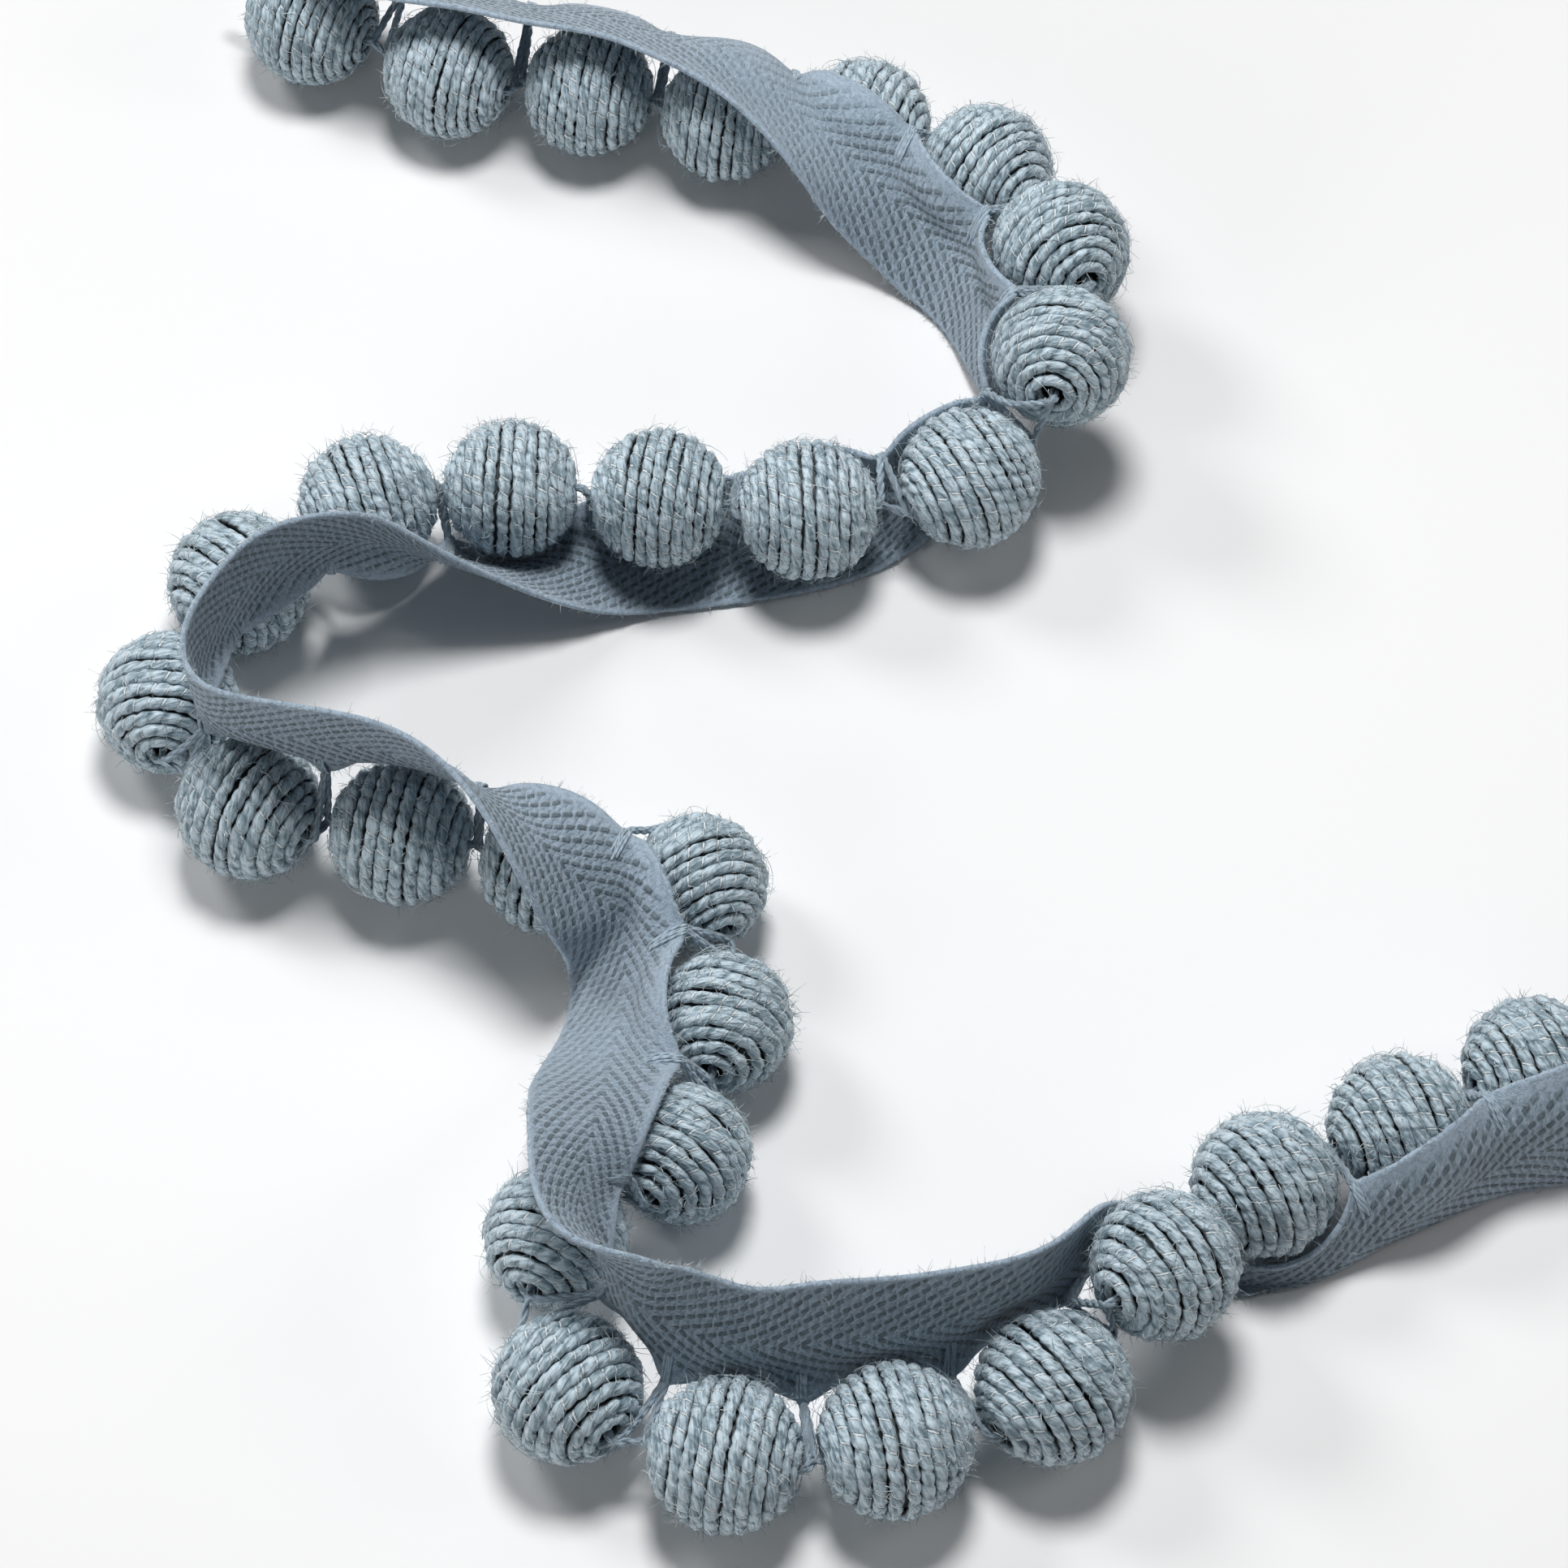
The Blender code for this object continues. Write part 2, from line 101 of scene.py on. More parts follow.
# The tape, one row per section. A section starts at the sewn edge, edge_out from the line through the balls.
# Angles turn round that line: 0 is the left-hand side of it, 90 is up, 180 the right-hand side.
# lean_in and lean_out are where the cloth heads at the sewn and at the free edge, and skew how far it
# is drawn forward along the line.
TapeRow = namedtuple("TapeRow", "place edge_out edge_turn lean_in lean_out skew")
TAPE_ROWS = [
    (0.4, 10.0, 12, 138, 138, 0),
    (1.5, 8.8, 12, 139, 139, 5),
    (2.0, 10.8, 12, 136, 136, 5),
    (2.5, 9.6, 12, 138, 138, 5),
    (3.0, 10.8, 12, 140, 140, 5),
    (3.5, 8.4, 14, 139, 139, 5),
    (4.0, 8.8, 8, 146, 146, 0),
    (4.5, 4.0, 38, 160, 160, -5),
    (5.0, 5.5, 100, 168, 228, -5),
    (5.5, 5.0, 120, 192, 236, 0),
    (6.0, 5.0, 142, 225, 225, 0),
    (6.5, 5.0, 160, 238, 238, 5),
    (7.0, 5.5, 168, 245, 245, 5),
    (7.5, 5.5, 170, 250, 250, 0),
    (8.0, 5.0, 170, 257, 257, -5),
    (8.5, 3.5, 188, 262, 265, -10),
    (9.0, 5.0, 176, 242, 318, -5),
    (9.5, 4.5, 170, 278, 325, 0),
    (10.0, 5.0, 185, 288, 338, 0),
    (10.5, 4.5, 200, 298, 345, 0),
    (11.0, 5.0, 220, 310, 358, 0),
    (11.5, 5.0, 245, 328, 388, -5),
    (12.0, 5.5, 272, 352, 422, 0),
    (12.5, 5.5, 310, 385, 445, 5),
    (13.0, 5.5, 345, 425, 440, 5),
    (13.5, 5.5, 370, 437, 442, 5),
    (14.0, 6.0, 390, 447, 447, 5),
    (14.5, 6.0, 395, 448, 448, 0),
    (15.0, 6.0, 405, 452, 452, 5),
    (15.5, 3.0, 440, 455, 455, 5),
    (16.0, 5.5, 420, 455, 455, 0),
    (16.5, 6.0, 415, 457, 457, 0),
    (17.0, 6.0, 410, 460, 460, 0),
    (17.5, 6.0, 405, 475, 475, 0),
    (18.0, 5.5, 415, 503, 503, -5),
    (18.5, 5.0, 440, 540, 540, -30),
    (19.0, 5.5, 480, 568, 568, -15),
    (19.5, 5.5, 495, 580, 580, 5),
    (20.0, 5.5, 495, 572, 572, 5),
    (20.5, 5.5, 485, 550, 550, 15),
    (21.0, 5.5, 465, 510, 510, 38),
    (21.5, 6.0, 435, 448, 448, 45),
    (22.0, 6.0, 403, 438, 438, 30),
    (22.5, 6.0, 382, 432, 432, 10),
    (23.0, 5.5, 370, 425, 425, 5),
    (23.5, 5.5, 366, 424, 424, 5),
    (24.0, 6.8, 336, 428, 428, 5),
    (24.5, 5.5, 362, 424, 424, 5),
    (25.0, 6.8, 336, 430, 430, 8),
    (25.5, 5.5, 350, 432, 432, 14),
    (26.0, 5.5, 340, 443, 443, 28),
    (26.2, 5.5, 338, 435, 425, 42),
    (26.4, 5.5, 335, 380, 360, 58),
    (26.6, 5.5, 333, 335, 315, 66),
    (26.8, 6.0, 332, 295, 270, 58),
    (27.0, 6.5, 330, 265, 212, 20),
    (27.5, 5.5, 260, 230, 265, 0),
    (28.0, 5.5, 200, 208, 322, 0),
    (28.5, 4.5, 155, 205, 310, 5),
    (29.0, 5.0, 130, 208, 293, 5),
    (29.5, 5.0, 118, 208, 280, 5),
    (30.0, 5.5, 120, 210, 263, 0),
    (30.6, 6.0, 125, 213, 256, 0),
]
TAPE = [TapeRow(*row) for row in TAPE_ROWS]

# The twine and how it is wound.
BALL_SEED = 100
TONES = (0.3, 0.7)  # from the darkest ball to the palest
TWINE_RADIUS = 0.66
TWINE_FLAT = 0.88  # the height of its section, which is pressed to the ball, as a share
TWINE_WIDE = 1.02  # and its width
TWINE_SIDES = 8
TWINE_PITCH = 1.34  # from turn to turn
TWINE_WRAP = 1.5  # from turn to turn of the fine thread that binds it
WRAP_RINGS = 3  # rings of points for each turn of that thread
TWINE_PINCH = 0.15  # how far the thread draws the twine in
PINCH_RANGE = 0.6  # how much that varies
TWINE_ROUGH = 0.05  # unevenness of the twine's surface
FIBRE_TWIST = 0.09  # turns of its fibres for each millimetre
WIND_MOUTH = 1.85  # radius of the first turn, at the bore's mouth
WIND_DEEP = 1.5  # the winding goes on this far into the bore
WIND_STEPS = 240  # points of its line for each turn
WIND_DRIFT = 0.25  # how far a turn strays along the ball
WIND_SWELL = 0.12  # and how far it rises or sinks
WIND_SINK = 0.4  # the share of that by which all turns sink
SWELL_MOST = 1.3  # a messy ball's turns rise at most this many times a neat one's
WIND_EASE = 2.0  # both fade out over this length at each mouth
CORE_GAP = 0.5  # from the middle of the twine down to the core
CORE_RINGS = 12
CORE_SIDES = 24
CORE_LOWEST = 0.3

# Waves in the winding: how many for each turn of it or millimetre of the twine, and how strong.
DRIFT_WAVES = [(0.13, 0.4), (0.31, 0.3), (1.03, 0.45), (2.1, 0.25), (5.3, 0.16), (8.9, 0.1)]
SWELL_WAVES = [(0.43, 0.5), (1.37, 0.4), (2.63, 0.35), (6.1, 0.3), (9.7, 0.2)]
FAT_WAVES = [(0.031, 0.05), (0.083, 0.05), (0.21, 0.035)]
PINCH_WAVES = [(0.05, 0.5), (0.13, 0.5)]

MESSY = {14: 1.8, 20: 2.2, 21: 1.5, 27: 1.4}  # balls that were wound less neatly, and by how much
# Balls whose twine is finer or thicker, and by what share.
GAUGE = {1: 0.90, 2: 0.88, 3: 0.88, 4: 0.90, 10: 0.94, 11: 0.96, 14: 1.06, 15: 1.04, 16: 1.11, 17: 1.11}
GAUGE.update({18: 1.08, 22: 1.08, 23: 1.10, 24: 1.08, 25: 1.08, 26: 1.12, 27: 1.12, 28: 1.08, 29: 1.04})

# The hairs. A rise is an angle off the surface, in radians.
HAIR_RADIUS = 0.042
HAIR_TIP = 0.35  # the tip's share of the radius
HAIR_SIDES = 3
HAIR_STEPS = 3  # points of a short hair
HAIR_LOWEST = 0.02
HAIR_ROOT = 0.2  # a short hair starts this far inside the ball
FUZZ_PER_BALL = 480  # short hairs that stand off the turns
FUZZ_NEAT = 0.7  # the share of them that a ball has however neat it is
FUZZ_LENGTH = (0.5, 1.5)
FUZZ_RISE = (0.1, 1.1)
FUZZ_BOW = (0.1, 0.8)
FUZZ_LOWEST = 0.8  # none start lower than this
LOOSE_PER_BALL = 70  # longer ones that lie over them
LOOSE_STEPS = 6
LOOSE_LENGTH = (1.5, 5.0)
LOOSE_CURL = 0.9
LOOSE_SUNK = 0.03  # how far their ends lie in the twine
LOOSE_LIFT = 0.10  # how far their middle lies off it
LOOSE_STAND = 0.9  # and how much further a few of them do
LOOSE_ARCH = (0.5, 0.95)
LOOSE_LOWEST = 1.5

# The tape's cloth.
TAPE_SEED = 3
CLOTH_THICK = 0.6
CLOTH_ROWS = 5  # rows for each section of the layout
CLOTH_STRIPS = 7  # strips for each of the layout's strips
CLOTH_SOFT = 4.0  # rows over which its folds are softened
CLOTH_CLEAR = 0.3
CLOTH_TUCK = 1.2  # how far a tie draws the sewn edge towards the bores
CLOTH_TUCK_REACH = 4.5  # how far across the tape the tuck is felt
CLOTH_TUCK_ALONG = 0.17  # and how far along it, in pitches
RIM_ROUND = 0.8  # how far an edge is rounded out, as a share of half the cloth's thickness
RIM_WORN = 0.05  # unevenness of the edges
RIM_UV = 0.2  # how far past the width its weave runs
LINT_RADIUS = 0.0357
LINT_PER_EDGE = 2080
LINT_ON_FACES = 1040
EDGE_LINT_LENGTH = (0.3, 1.1)
EDGE_LINT_RISE = (0.3, 1.3)
EDGE_LINT_SPAN = 0.7  # over this share of the cloth's thickness
FACE_LINT_LENGTH = (0.4, 1.2)
FACE_LINT_RISE = (0.05, 0.9)
FACE_LINT_ROOT = 0.9

# Its weave: turns of the pattern for each millimetre along the tape, and away from the middle of its width.
WALE_ALONG = 0.42
WALE_ACROSS = 0.72
PIT_ALONG = 0.90
PIT_ACROSS = 0.20
FLOAT_SLANT = 0.55  # how far a float leans along its wale, in floats
# Where the weave is pressed smooth: the place, how far along it reaches, and how much of the weave is left.
SMOOTHED = [(4.3, 0.9, 0.35), (20.2, 0.6, 0.45)]

# The yarn, and the tacks that hold it to the tape's edge.
YARN_SEED = 7
STRAND_RADIUS = 0.24
STRAND_SIDES = 6
STRAND_LOWEST = 0.02
PLY_PITCH = 4.0
PLY_OUT = 0.9  # how far a strand lies off the yarn's middle, in strands
TIE_PLIES = 3  # strands that go by way of the tape's edge
BORE_PLIES = 2  # strands that go straight to the next ball
YARN_IN = 2.0  # how far a tie's ends go into the bores
YARN_TAIL = 1.5
YARN_DROOP = 1.0
TIE_CLEAR = 0.3
TIE_ROUNDS = 20
TIE_DETAIL = 6
TAIL_DETAIL = 4
CORNER_OUT = 0.15  # how far past the edge the yarn turns
TACKS = 4  # stitches side by side at each tie
TACK_GAP = 0.26
TACK_RADIUS = 0.16
TACK_SUNK = 0.6  # the share of its radius that its middle lies off the cloth
TACK_LENGTH = 3.4
TACK_RANGE = (0.75, 1.1)
TACK_OUT = 0.32  # how far past the edge they turn
TACK_SLANT = 0.25
TACK_UNEVEN = 0.04
TACK_DETAIL = 3
TACK_END = 0.1  # how high its end lies, sunk in the cloth
TACK_WAY = [(0.85, 0.0), (0.4, 0.1)]  # shares of its length, and how much it stands up there
TACK_NEAR = 0.1  # how near the edge it then turns down


def ball_centre(ball):
    """A ball that rests on the surface is sunk by the depth of its flat spot."""
    pressed = SPOT_DEPTH if ball.lift == 0.0 else 0.0
    return Vector((ball.x, ball.y, ball.lift + ball.radius - pressed))


def bore_line(ball):
    """The way along the bore, pointing to the next ball."""
    heading = math.radians(ball.heading)
    rise = math.radians(ball.rise)
    flat = math.cos(rise)
    return Vector((flat * math.cos(heading), flat * math.sin(heading), math.sin(rise)))


CENTRES = [ball_centre(ball) for ball in BALLS]
KNOTS = [Vector(RUN_IN)] + CENTRES + [Vector(RUN_OUT)]


def between(start, leave, end, arrive, share):
    """A smooth way from start to end that leaves and arrives in these directions."""
    s2 = share * share
    s3 = s2 * share
    return (
        start * (2 * s3 - 3 * s2 + 1)
        + leave * (s3 - 2 * s2 + share)
        + end * (3 * s2 - 2 * s3)
        + arrive * (s3 - s2)
    )


def eased(before, start, end, after, share):
    """The same, in line with the points before the start and after the end."""
    return between(start, (end - before) * 0.5, end, (after - start) * 0.5, share)


def line_point(place):
    """The point at this place on the line through the balls."""
    place = min(max(place, 0.0), len(KNOTS) - 1.0)
    k = min(int(place), len(KNOTS) - 2)
    before = KNOTS[max(k - 1, 0)]
    after = KNOTS[min(k + 2, len(KNOTS) - 1)]
    return eased(before, KNOTS[k], KNOTS[k + 1], after, place - k)


def line_frame(place):
    """The level directions forward along the line and to its left."""
    forward = line_point(place + HEADING_REACH) - line_point(place - HEADING_REACH)
    forward.z = 0.0
    forward.normalize()
    return forward, Vector((-forward.y, forward.x, 0.0))


def tape_row(place):
    """The tape table read at any place, eased from row to row."""
    k = 0
    while k < len(TAPE) - 2 and TAPE[k + 1].place <= place:
        k += 1
    start = Vector(TAPE[k])
    end = Vector(TAPE[k + 1])
    span = end[0] - start[0]
    share = (place - start[0]) / span
    before = Vector(TAPE[max(k - 1, 0)])
    after = Vector(TAPE[min(k + 2, len(TAPE) - 1)])
    leave = (end - before) * (span / (end[0] - before[0]))
    arrive = (after - start) * (span / (after[0] - start[0]))
    return between(start, leave, end, arrive, share)


def turned(forward, side, angle, skew=0.0):
    """A direction at this angle round the line, drawn forward by the skew."""
    around = side * math.cos(angle) + Vector((0.0, 0.0, math.sin(angle)))
    return around * math.cos(skew) + forward * math.sin(skew)


def pushed_clear(point, place, clear, lowest, rounds=TAPE_ROUNDS):
    """The point moved out of the balls near this place and up off the surface."""
    first = max(0, int(place) - NEAR_BALLS)
    last = int(place) + NEAR_BALLS
    for _ in range(rounds):
        for ball, centre in zip(BALLS[first:last], CENTRES[first:last]):
            away = point - centre
            if away.length < ball.radius + clear:
                point = centre + away.normalized() * (ball.radius + clear)
        point.z = max(point.z, lowest)
    return point


def tape_section(place):
    """The middle of the cloth across its width, from the sewn edge to the free edge."""
    _, edge_out, edge_turn, lean_in, lean_out, skew = tape_row(place)
    forward, side = line_frame(place)
    point = line_point(place) + turned(forward, side, math.radians(edge_turn)) * edge_out
    section = [point]
    for k in range(TAPE_ACROSS):
        share = (k + 0.5) / TAPE_ACROSS
        lean = math.radians(lean_in + (lean_out - lean_in) * share)
        step = turned(forward, side, lean, math.radians(skew))
        point = point + step * (TAPE_WIDTH / TAPE_ACROSS)
        section.append(point)
    return section


def tape_places():
    """The places of the tape's sections, evenly from its first row to its last."""
    first, last = TAPE[0].place, TAPE[-1].place
    count = round((last - first) / TAPE_STEP)
    return [first + (last - first) * k / count for k in range(count + 1)]


def settled(places, sections):
    """The sections pushed clear of the balls and the surface, and smoothed along the tape."""
    clear = TAPE_CLEAR + TAPE_THICK / 2
    for _ in range(RELAX_ROUNDS):
        for place, section in zip(places, sections):
            section[:] = [pushed_clear(p, place, clear, TAPE_THICK / 2) for p in section]
        smooth = [list(section) for section in sections]
        for k in range(1, len(sections) - 1):
            for j in range(len(sections[k])):
                beside = (sections[k - 1][j] + sections[k + 1][j]) * 0.5
                smooth[k][j] = sections[k][j].lerp(beside, RELAX_SHARE)
        sections = smooth
    for place, section in zip(places, sections):
        section[:] = [pushed_clear(p, place, clear, TAPE_THICK / 2) for p in section]
    return sections


TURN = 2 * math.pi
ANY_UP = np.array((0.31, 0.17, 0.93))  # along no path here, so it always has a way across


def unit(v):
    """The vectors at length 1."""
    return v / np.maximum(np.linalg.norm(v, axis=-1, keepdims=True), 1e-9)


def run_lengths(path):
    """How far along the path each of its points lies."""
    return np.concatenate([[0], np.cumsum(np.linalg.norm(np.diff(path, axis=0), axis=1))])


def finer(points, count):
    """The rows of points with count steps for each of theirs, on a smooth curve through them."""
    before = np.concatenate([points[:1], points[:-2]])
    after = np.concatenate([points[2:], points[-1:]])
    rows = [eased(before, points[:-1], points[1:], after, k / count) for k in range(count)]
    mixed = np.stack(rows, axis=1).reshape(-1, *points.shape[1:])
    return np.concatenate([mixed, points[-1:]])


def smooth_noise(rng, t, waves):
    """A sum of slow waves with chance phases: each wave is (turns per unit of t, size)."""
    total = np.zeros_like(t)
    for rate, size in waves:
        total += size * np.sin(TURN * rate * t + rng.uniform(0, TURN))
    return total


def added(name, data):
    """A new object of the scene that shows the data."""
    made = bpy.data.objects.new(name, data)
    bpy.context.scene.collection.objects.link(made)
    return made


class Shape:
    """Points and faces gathered for one mesh, with a UV and how much of the relief shows for each point; on
    the twine and its core a low relief is painted with the grooves' shade.
    """

    def __init__(self):
        self.points = []
        self.faces = []
        self.slots = []
        self.uvs = []
        self.relief = []
        self.count = 0

    def add(self, points, faces, uv, relief, slot=0):
        """Some more points, and faces that number them from 0."""
        self.points.append(points)
        self.faces += [tuple(i + self.count for i in face) for face in faces]
        self.slots += [slot] * len(faces)
        self.uvs.append(uv)
        self.relief.append(relief)
        self.count += len(points)

    def build(self, name, materials, tone=0.5):
        """The piece, with its thread UV and its relief and tone attributes."""
        points = np.concatenate(self.points) - np.array((*MIDDLE, 0.0))
        mesh = bpy.data.meshes.new(name)
        mesh.from_pydata((points * MM).tolist(), [], self.faces)
        for material in materials:
            mesh.materials.append(material)
        mesh.polygons.foreach_set("material_index", self.slots)
        mesh.polygons.foreach_set("use_smooth", [True] * len(mesh.polygons))
        corner = np.zeros(len(mesh.loops), np.int32)
        mesh.loops.foreach_get("vertex_index", corner)
        layer = mesh.uv_layers.new(name="thread")
        layer.data.foreach_set("uv", np.concatenate(self.uvs)[corner].astype(np.float32).ravel())
        numbers = {"relief": np.concatenate(self.relief), "tone": np.full(self.count, tone)}
        for label, values in numbers.items():
            layer = mesh.attributes.new(label, "FLOAT", "POINT")
            layer.data.foreach_set("value", values.astype(np.float32))
        return added(name, mesh)


def tube_faces(rings, sides):
    """Quads from ring to ring, and a cap at each end."""
    faces = []
    for k in range(rings - 1):
        a = k * sides
        for j in range(sides):
            n = (j + 1) % sides
            faces.append((a + j, a + n, a + sides + n, a + sides + j))
    faces.append(tuple(range(sides - 1, -1, -1)))
    last = (rings - 1) * sides
    faces.append(tuple(range(last, last + sides)))
    return faces


def carried_frames(path):
    """For each point of the path, two directions across it that turn as little as they can."""
    along = unit(np.gradient(path, axis=0))
    up = np.empty_like(path)
    up[0] = unit(ANY_UP - along[0] * (ANY_UP @ along[0]))
    for k in range(1, len(path)):
        up[k] = unit(up[k - 1] - along[k] * (up[k - 1] @ along[k]))
    return up, np.cross(along, up)


def add_strand(shape, path, radius, lowest=0.0):
    """A thin round tube along the path."""
    up, side = carried_frames(path)
    angle = np.arange(STRAND_SIDES) * TURN / STRAND_SIDES
    ring = up[:, None] * np.cos(angle)[None, :, None] + side[:, None] * np.sin(angle)[None, :, None]
    points = path[:, None] + ring * radius
    points[..., 2] = np.maximum(points[..., 2], lowest)
    uv = np.stack(np.broadcast_arrays(run_lengths(path)[:, None], angle[None, :] * radius), axis=-1)
    faces = tube_faces(len(path), STRAND_SIDES)
    shape.add(points.reshape(-1, 3), faces, uv.reshape(-1, 2), np.ones(len(path) * STRAND_SIDES))


def winding(ball, rng, mess, gauge):
    """The twine's middle, and the way out of the ball there, in the ball's own frame, bore along Z."""
    reach = ball.radius - TWINE_RADIUS * gauge * TWINE_FLAT
    pole = math.asin(WIND_MOUTH / reach)
    arc = reach * (math.pi - 2 * pole)
    turns = (arc + 2 * WIND_DEEP) / (TWINE_PITCH * gauge)
    turn = np.linspace(0, turns, int(turns * WIND_STEPS))
    drift = smooth_noise(rng, turn, DRIFT_WAVES)
    swell = smooth_noise(rng, turn, SWELL_WAVES)
    run = turn * TWINE_PITCH * gauge - WIND_DEEP
    outside = np.clip(np.minimum(run, arc - run) / WIND_EASE, 0, 1)
    run = run + WIND_DRIFT * mess * drift * outside
    theta = pole + np.clip(run, 0, arc) / reach
    size = reach + WIND_SWELL * (swell * outside - WIND_SINK) * min(mess, SWELL_MOST)
    below = np.minimum(run, 0) + np.maximum(run - arc, 0)
    angle = TURN * turn
    ring = size * np.sin(theta)
    level = size * np.cos(theta) + below
    middle = np.stack([ring * np.cos(angle), ring * np.sin(angle), level], axis=1)
    out = np.stack([np.sin(theta) * np.cos(angle), np.sin(theta) * np.sin(angle), np.cos(theta)], axis=1)
    return middle, out


def ball_axes(ball):
    """The ball's own axes as columns: any two across the bore, and the bore."""
    along = bore_line(ball)
    across = Vector((0.0, 0.0, 1.0)).cross(along).normalized()
    return np.array([across, along.cross(across), along]).T


def in_place(ball, points, lowest):
    """Points of the ball's own frame in the trim's, and up off the surface."""
    points = points @ ball_axes(ball).T + np.array(ball_centre(ball))
    points[..., 2] = np.maximum(points[..., 2], lowest)
    return points


def add_twine(shape, ball, rng, mess, gauge):
    """The twine as one tube from bore to bore.

    Its rings of points wind along with the thread that binds it, so the thread's line is drawn in sharply.
    """
    middle, out = winding(ball, rng, mess, gauge)
    length = run_lengths(middle)
    along = unit(np.gradient(middle, axis=0))
    up = unit(out - along * np.sum(out * along, axis=1, keepdims=True))
    side = np.cross(along, up)
    rings = int((length[-1] / TWINE_WRAP - 1) * WRAP_RINGS)
    k, j = np.mgrid[0:rings, 0:TWINE_SIDES]
    at = TWINE_WRAP * (k / WRAP_RINGS + j / TWINE_SIDES)
    angle = math.pi - TURN * j / TWINE_SIDES

    def read(values):
        return np.stack([np.interp(at, length, values[:, c]) for c in range(3)], axis=-1)

    fat = 1.0 + smooth_noise(rng, at, FAT_WAVES)
    rough = rng.normal(0.0, TWINE_ROUGH, at.shape)
    bound = TWINE_PINCH * (1.0 + PINCH_RANGE * smooth_noise(rng, at, PINCH_WAVES))
    radius = TWINE_RADIUS * gauge * (fat + rough - np.where(k % WRAP_RINGS == 0, bound, 0.0))
    ring = read(up) * (np.cos(angle) * TWINE_FLAT)[..., None]
    ring += read(side) * (np.sin(angle) * TWINE_WIDE)[..., None]
    points = in_place(ball, read(middle) + ring * radius[..., None], 0.0)
    uv = np.stack([at, j / TWINE_SIDES], axis=-1)
    # how far each point faces out of the twine: the material paints shade in the grooves where this is low
    relief = 0.5 + 0.5 * np.cos(angle)
    shape.add(points.reshape(-1, 3), wound_faces(rings), uv.reshape(-1, 2), relief.ravel())


def wound_faces(rings):
    """The faces of a tube whose rings are one winding each: the last point of a ring meets a later ring."""
    index = np.arange(rings * TWINE_SIDES).reshape(rings, TWINE_SIDES)
    this = np.concatenate([index[:-WRAP_RINGS], index[WRAP_RINGS:, :1]], axis=1)
    faces = []
    for a, b in zip(this[:-1], this[1:]):
        for j in range(TWINE_SIDES):
            faces.append((a[j], b[j], b[j + 1], a[j + 1]))
    for row, way in ((0, 1), (len(this) - 1, -1)):
        rim = list(this[row]) + [index[row + r, 0] for r in range(WRAP_RINGS - 1, 0, -1)]
        faces.append(tuple(rim[::way]))
    return faces


def add_core(shape, ball, gauge):
    """What shows between the turns, painted with the grooves' shade: a round with a bore, turned about the
    bore.
    """
    reach = ball.radius - TWINE_RADIUS * gauge - CORE_GAP
    bore = WIND_MOUTH + CORE_GAP
    pole = math.asin(bore / reach)
    theta = np.linspace(pole, math.pi - pole, CORE_RINGS)[:, None]
    turn = np.linspace(0, TURN, CORE_SIDES, endpoint=False)
    ring = reach * np.sin(theta)
    points = np.stack([ring * np.cos(turn), ring * np.sin(turn), reach * np.cos(theta) + 0 * turn], axis=-1)
    faces = []
    for k in range(CORE_RINGS):
        a = k * CORE_SIDES
        b = (k + 1) % CORE_RINGS * CORE_SIDES
        for j in range(CORE_SIDES):
            n = (j + 1) % CORE_SIDES
            faces.append((a + j, b + j, b + n, a + n))
    count = CORE_RINGS * CORE_SIDES
    points = in_place(ball, points, CORE_LOWEST).reshape(-1, 3)
    # no relief, so the core is painted all over with the grooves' shade
    shape.add(points, faces, np.zeros((count, 2)), np.zeros(count))


def add_fibres(shape, paths, radius):
    """Many thin tapering fibres at once: the paths are fibre by fibre and point by point."""
    count, steps = paths.shape[:2]
    along = unit(np.gradient(paths, axis=1))
    side = unit(np.cross(along, ANY_UP))
    up = np.cross(side, along)
    size = (radius * np.linspace(1.0, HAIR_TIP, steps))[None, :, None]
    rings = []
    for k in range(HAIR_SIDES):
        turn = TURN * k / HAIR_SIDES
        rings.append(paths + (side * math.cos(turn) + up * math.sin(turn)) * size)
    points = np.stack(rings, axis=2).reshape(-1, 3)
    points[:, 2] = np.maximum(points[:, 2], HAIR_LOWEST)
    one = tube_faces(steps, HAIR_SIDES)
    faces = [tuple(i + k * steps * HAIR_SIDES for i in face) for k in range(count) for face in one]
    shape.add(points, faces, np.zeros((len(points), 2)), np.ones(len(points)), 1)


def fuzz(rng, root, out, length, rises):
    """Bent hairs from the roots, each rising off the surface by an angle within rises."""
    count = len(root)
    way = unit(np.cross(out, rng.normal(size=(count, 3))))
    rise = rng.uniform(*rises, (count, 1))
    heading = (way * np.cos(rise) + out * np.sin(rise))[:, None]
    bow = unit(rng.normal(size=(count, 3)))[:, None] * rng.uniform(*FUZZ_BOW, (count, 1, 1))
    size = rng.uniform(*length, (count, 1, 1))
    t = np.linspace(0, 1, HAIR_STEPS)[None, :, None]
    return root[:, None] + (heading * t + bow * t**2) * size


def loose(rng, out, radius):
    """Longer fibres that lie over the turns, each lifted a little along its middle."""
    count = len(out)
    way = unit(np.cross(out, rng.normal(size=(count, 3))))
    aside = np.cross(way, out)
    size = rng.uniform(*LOOSE_LENGTH, (count, 1, 1))
    curl = rng.uniform(-LOOSE_CURL, LOOSE_CURL, (count, 1, 1))
    t = np.linspace(0, 1, LOOSE_STEPS)[None, :, None]
    flat = out[:, None] * radius + (way[:, None] * t + aside[:, None] * curl * t**2) * size
    stand = LOOSE_LIFT + LOOSE_STAND * rng.uniform(size=(count, 1, 1)) ** 4
    arch = np.sin(t * math.pi * rng.uniform(*LOOSE_ARCH, (count, 1, 1)))
    return unit(flat) * (radius - LOOSE_SUNK + stand * arch)


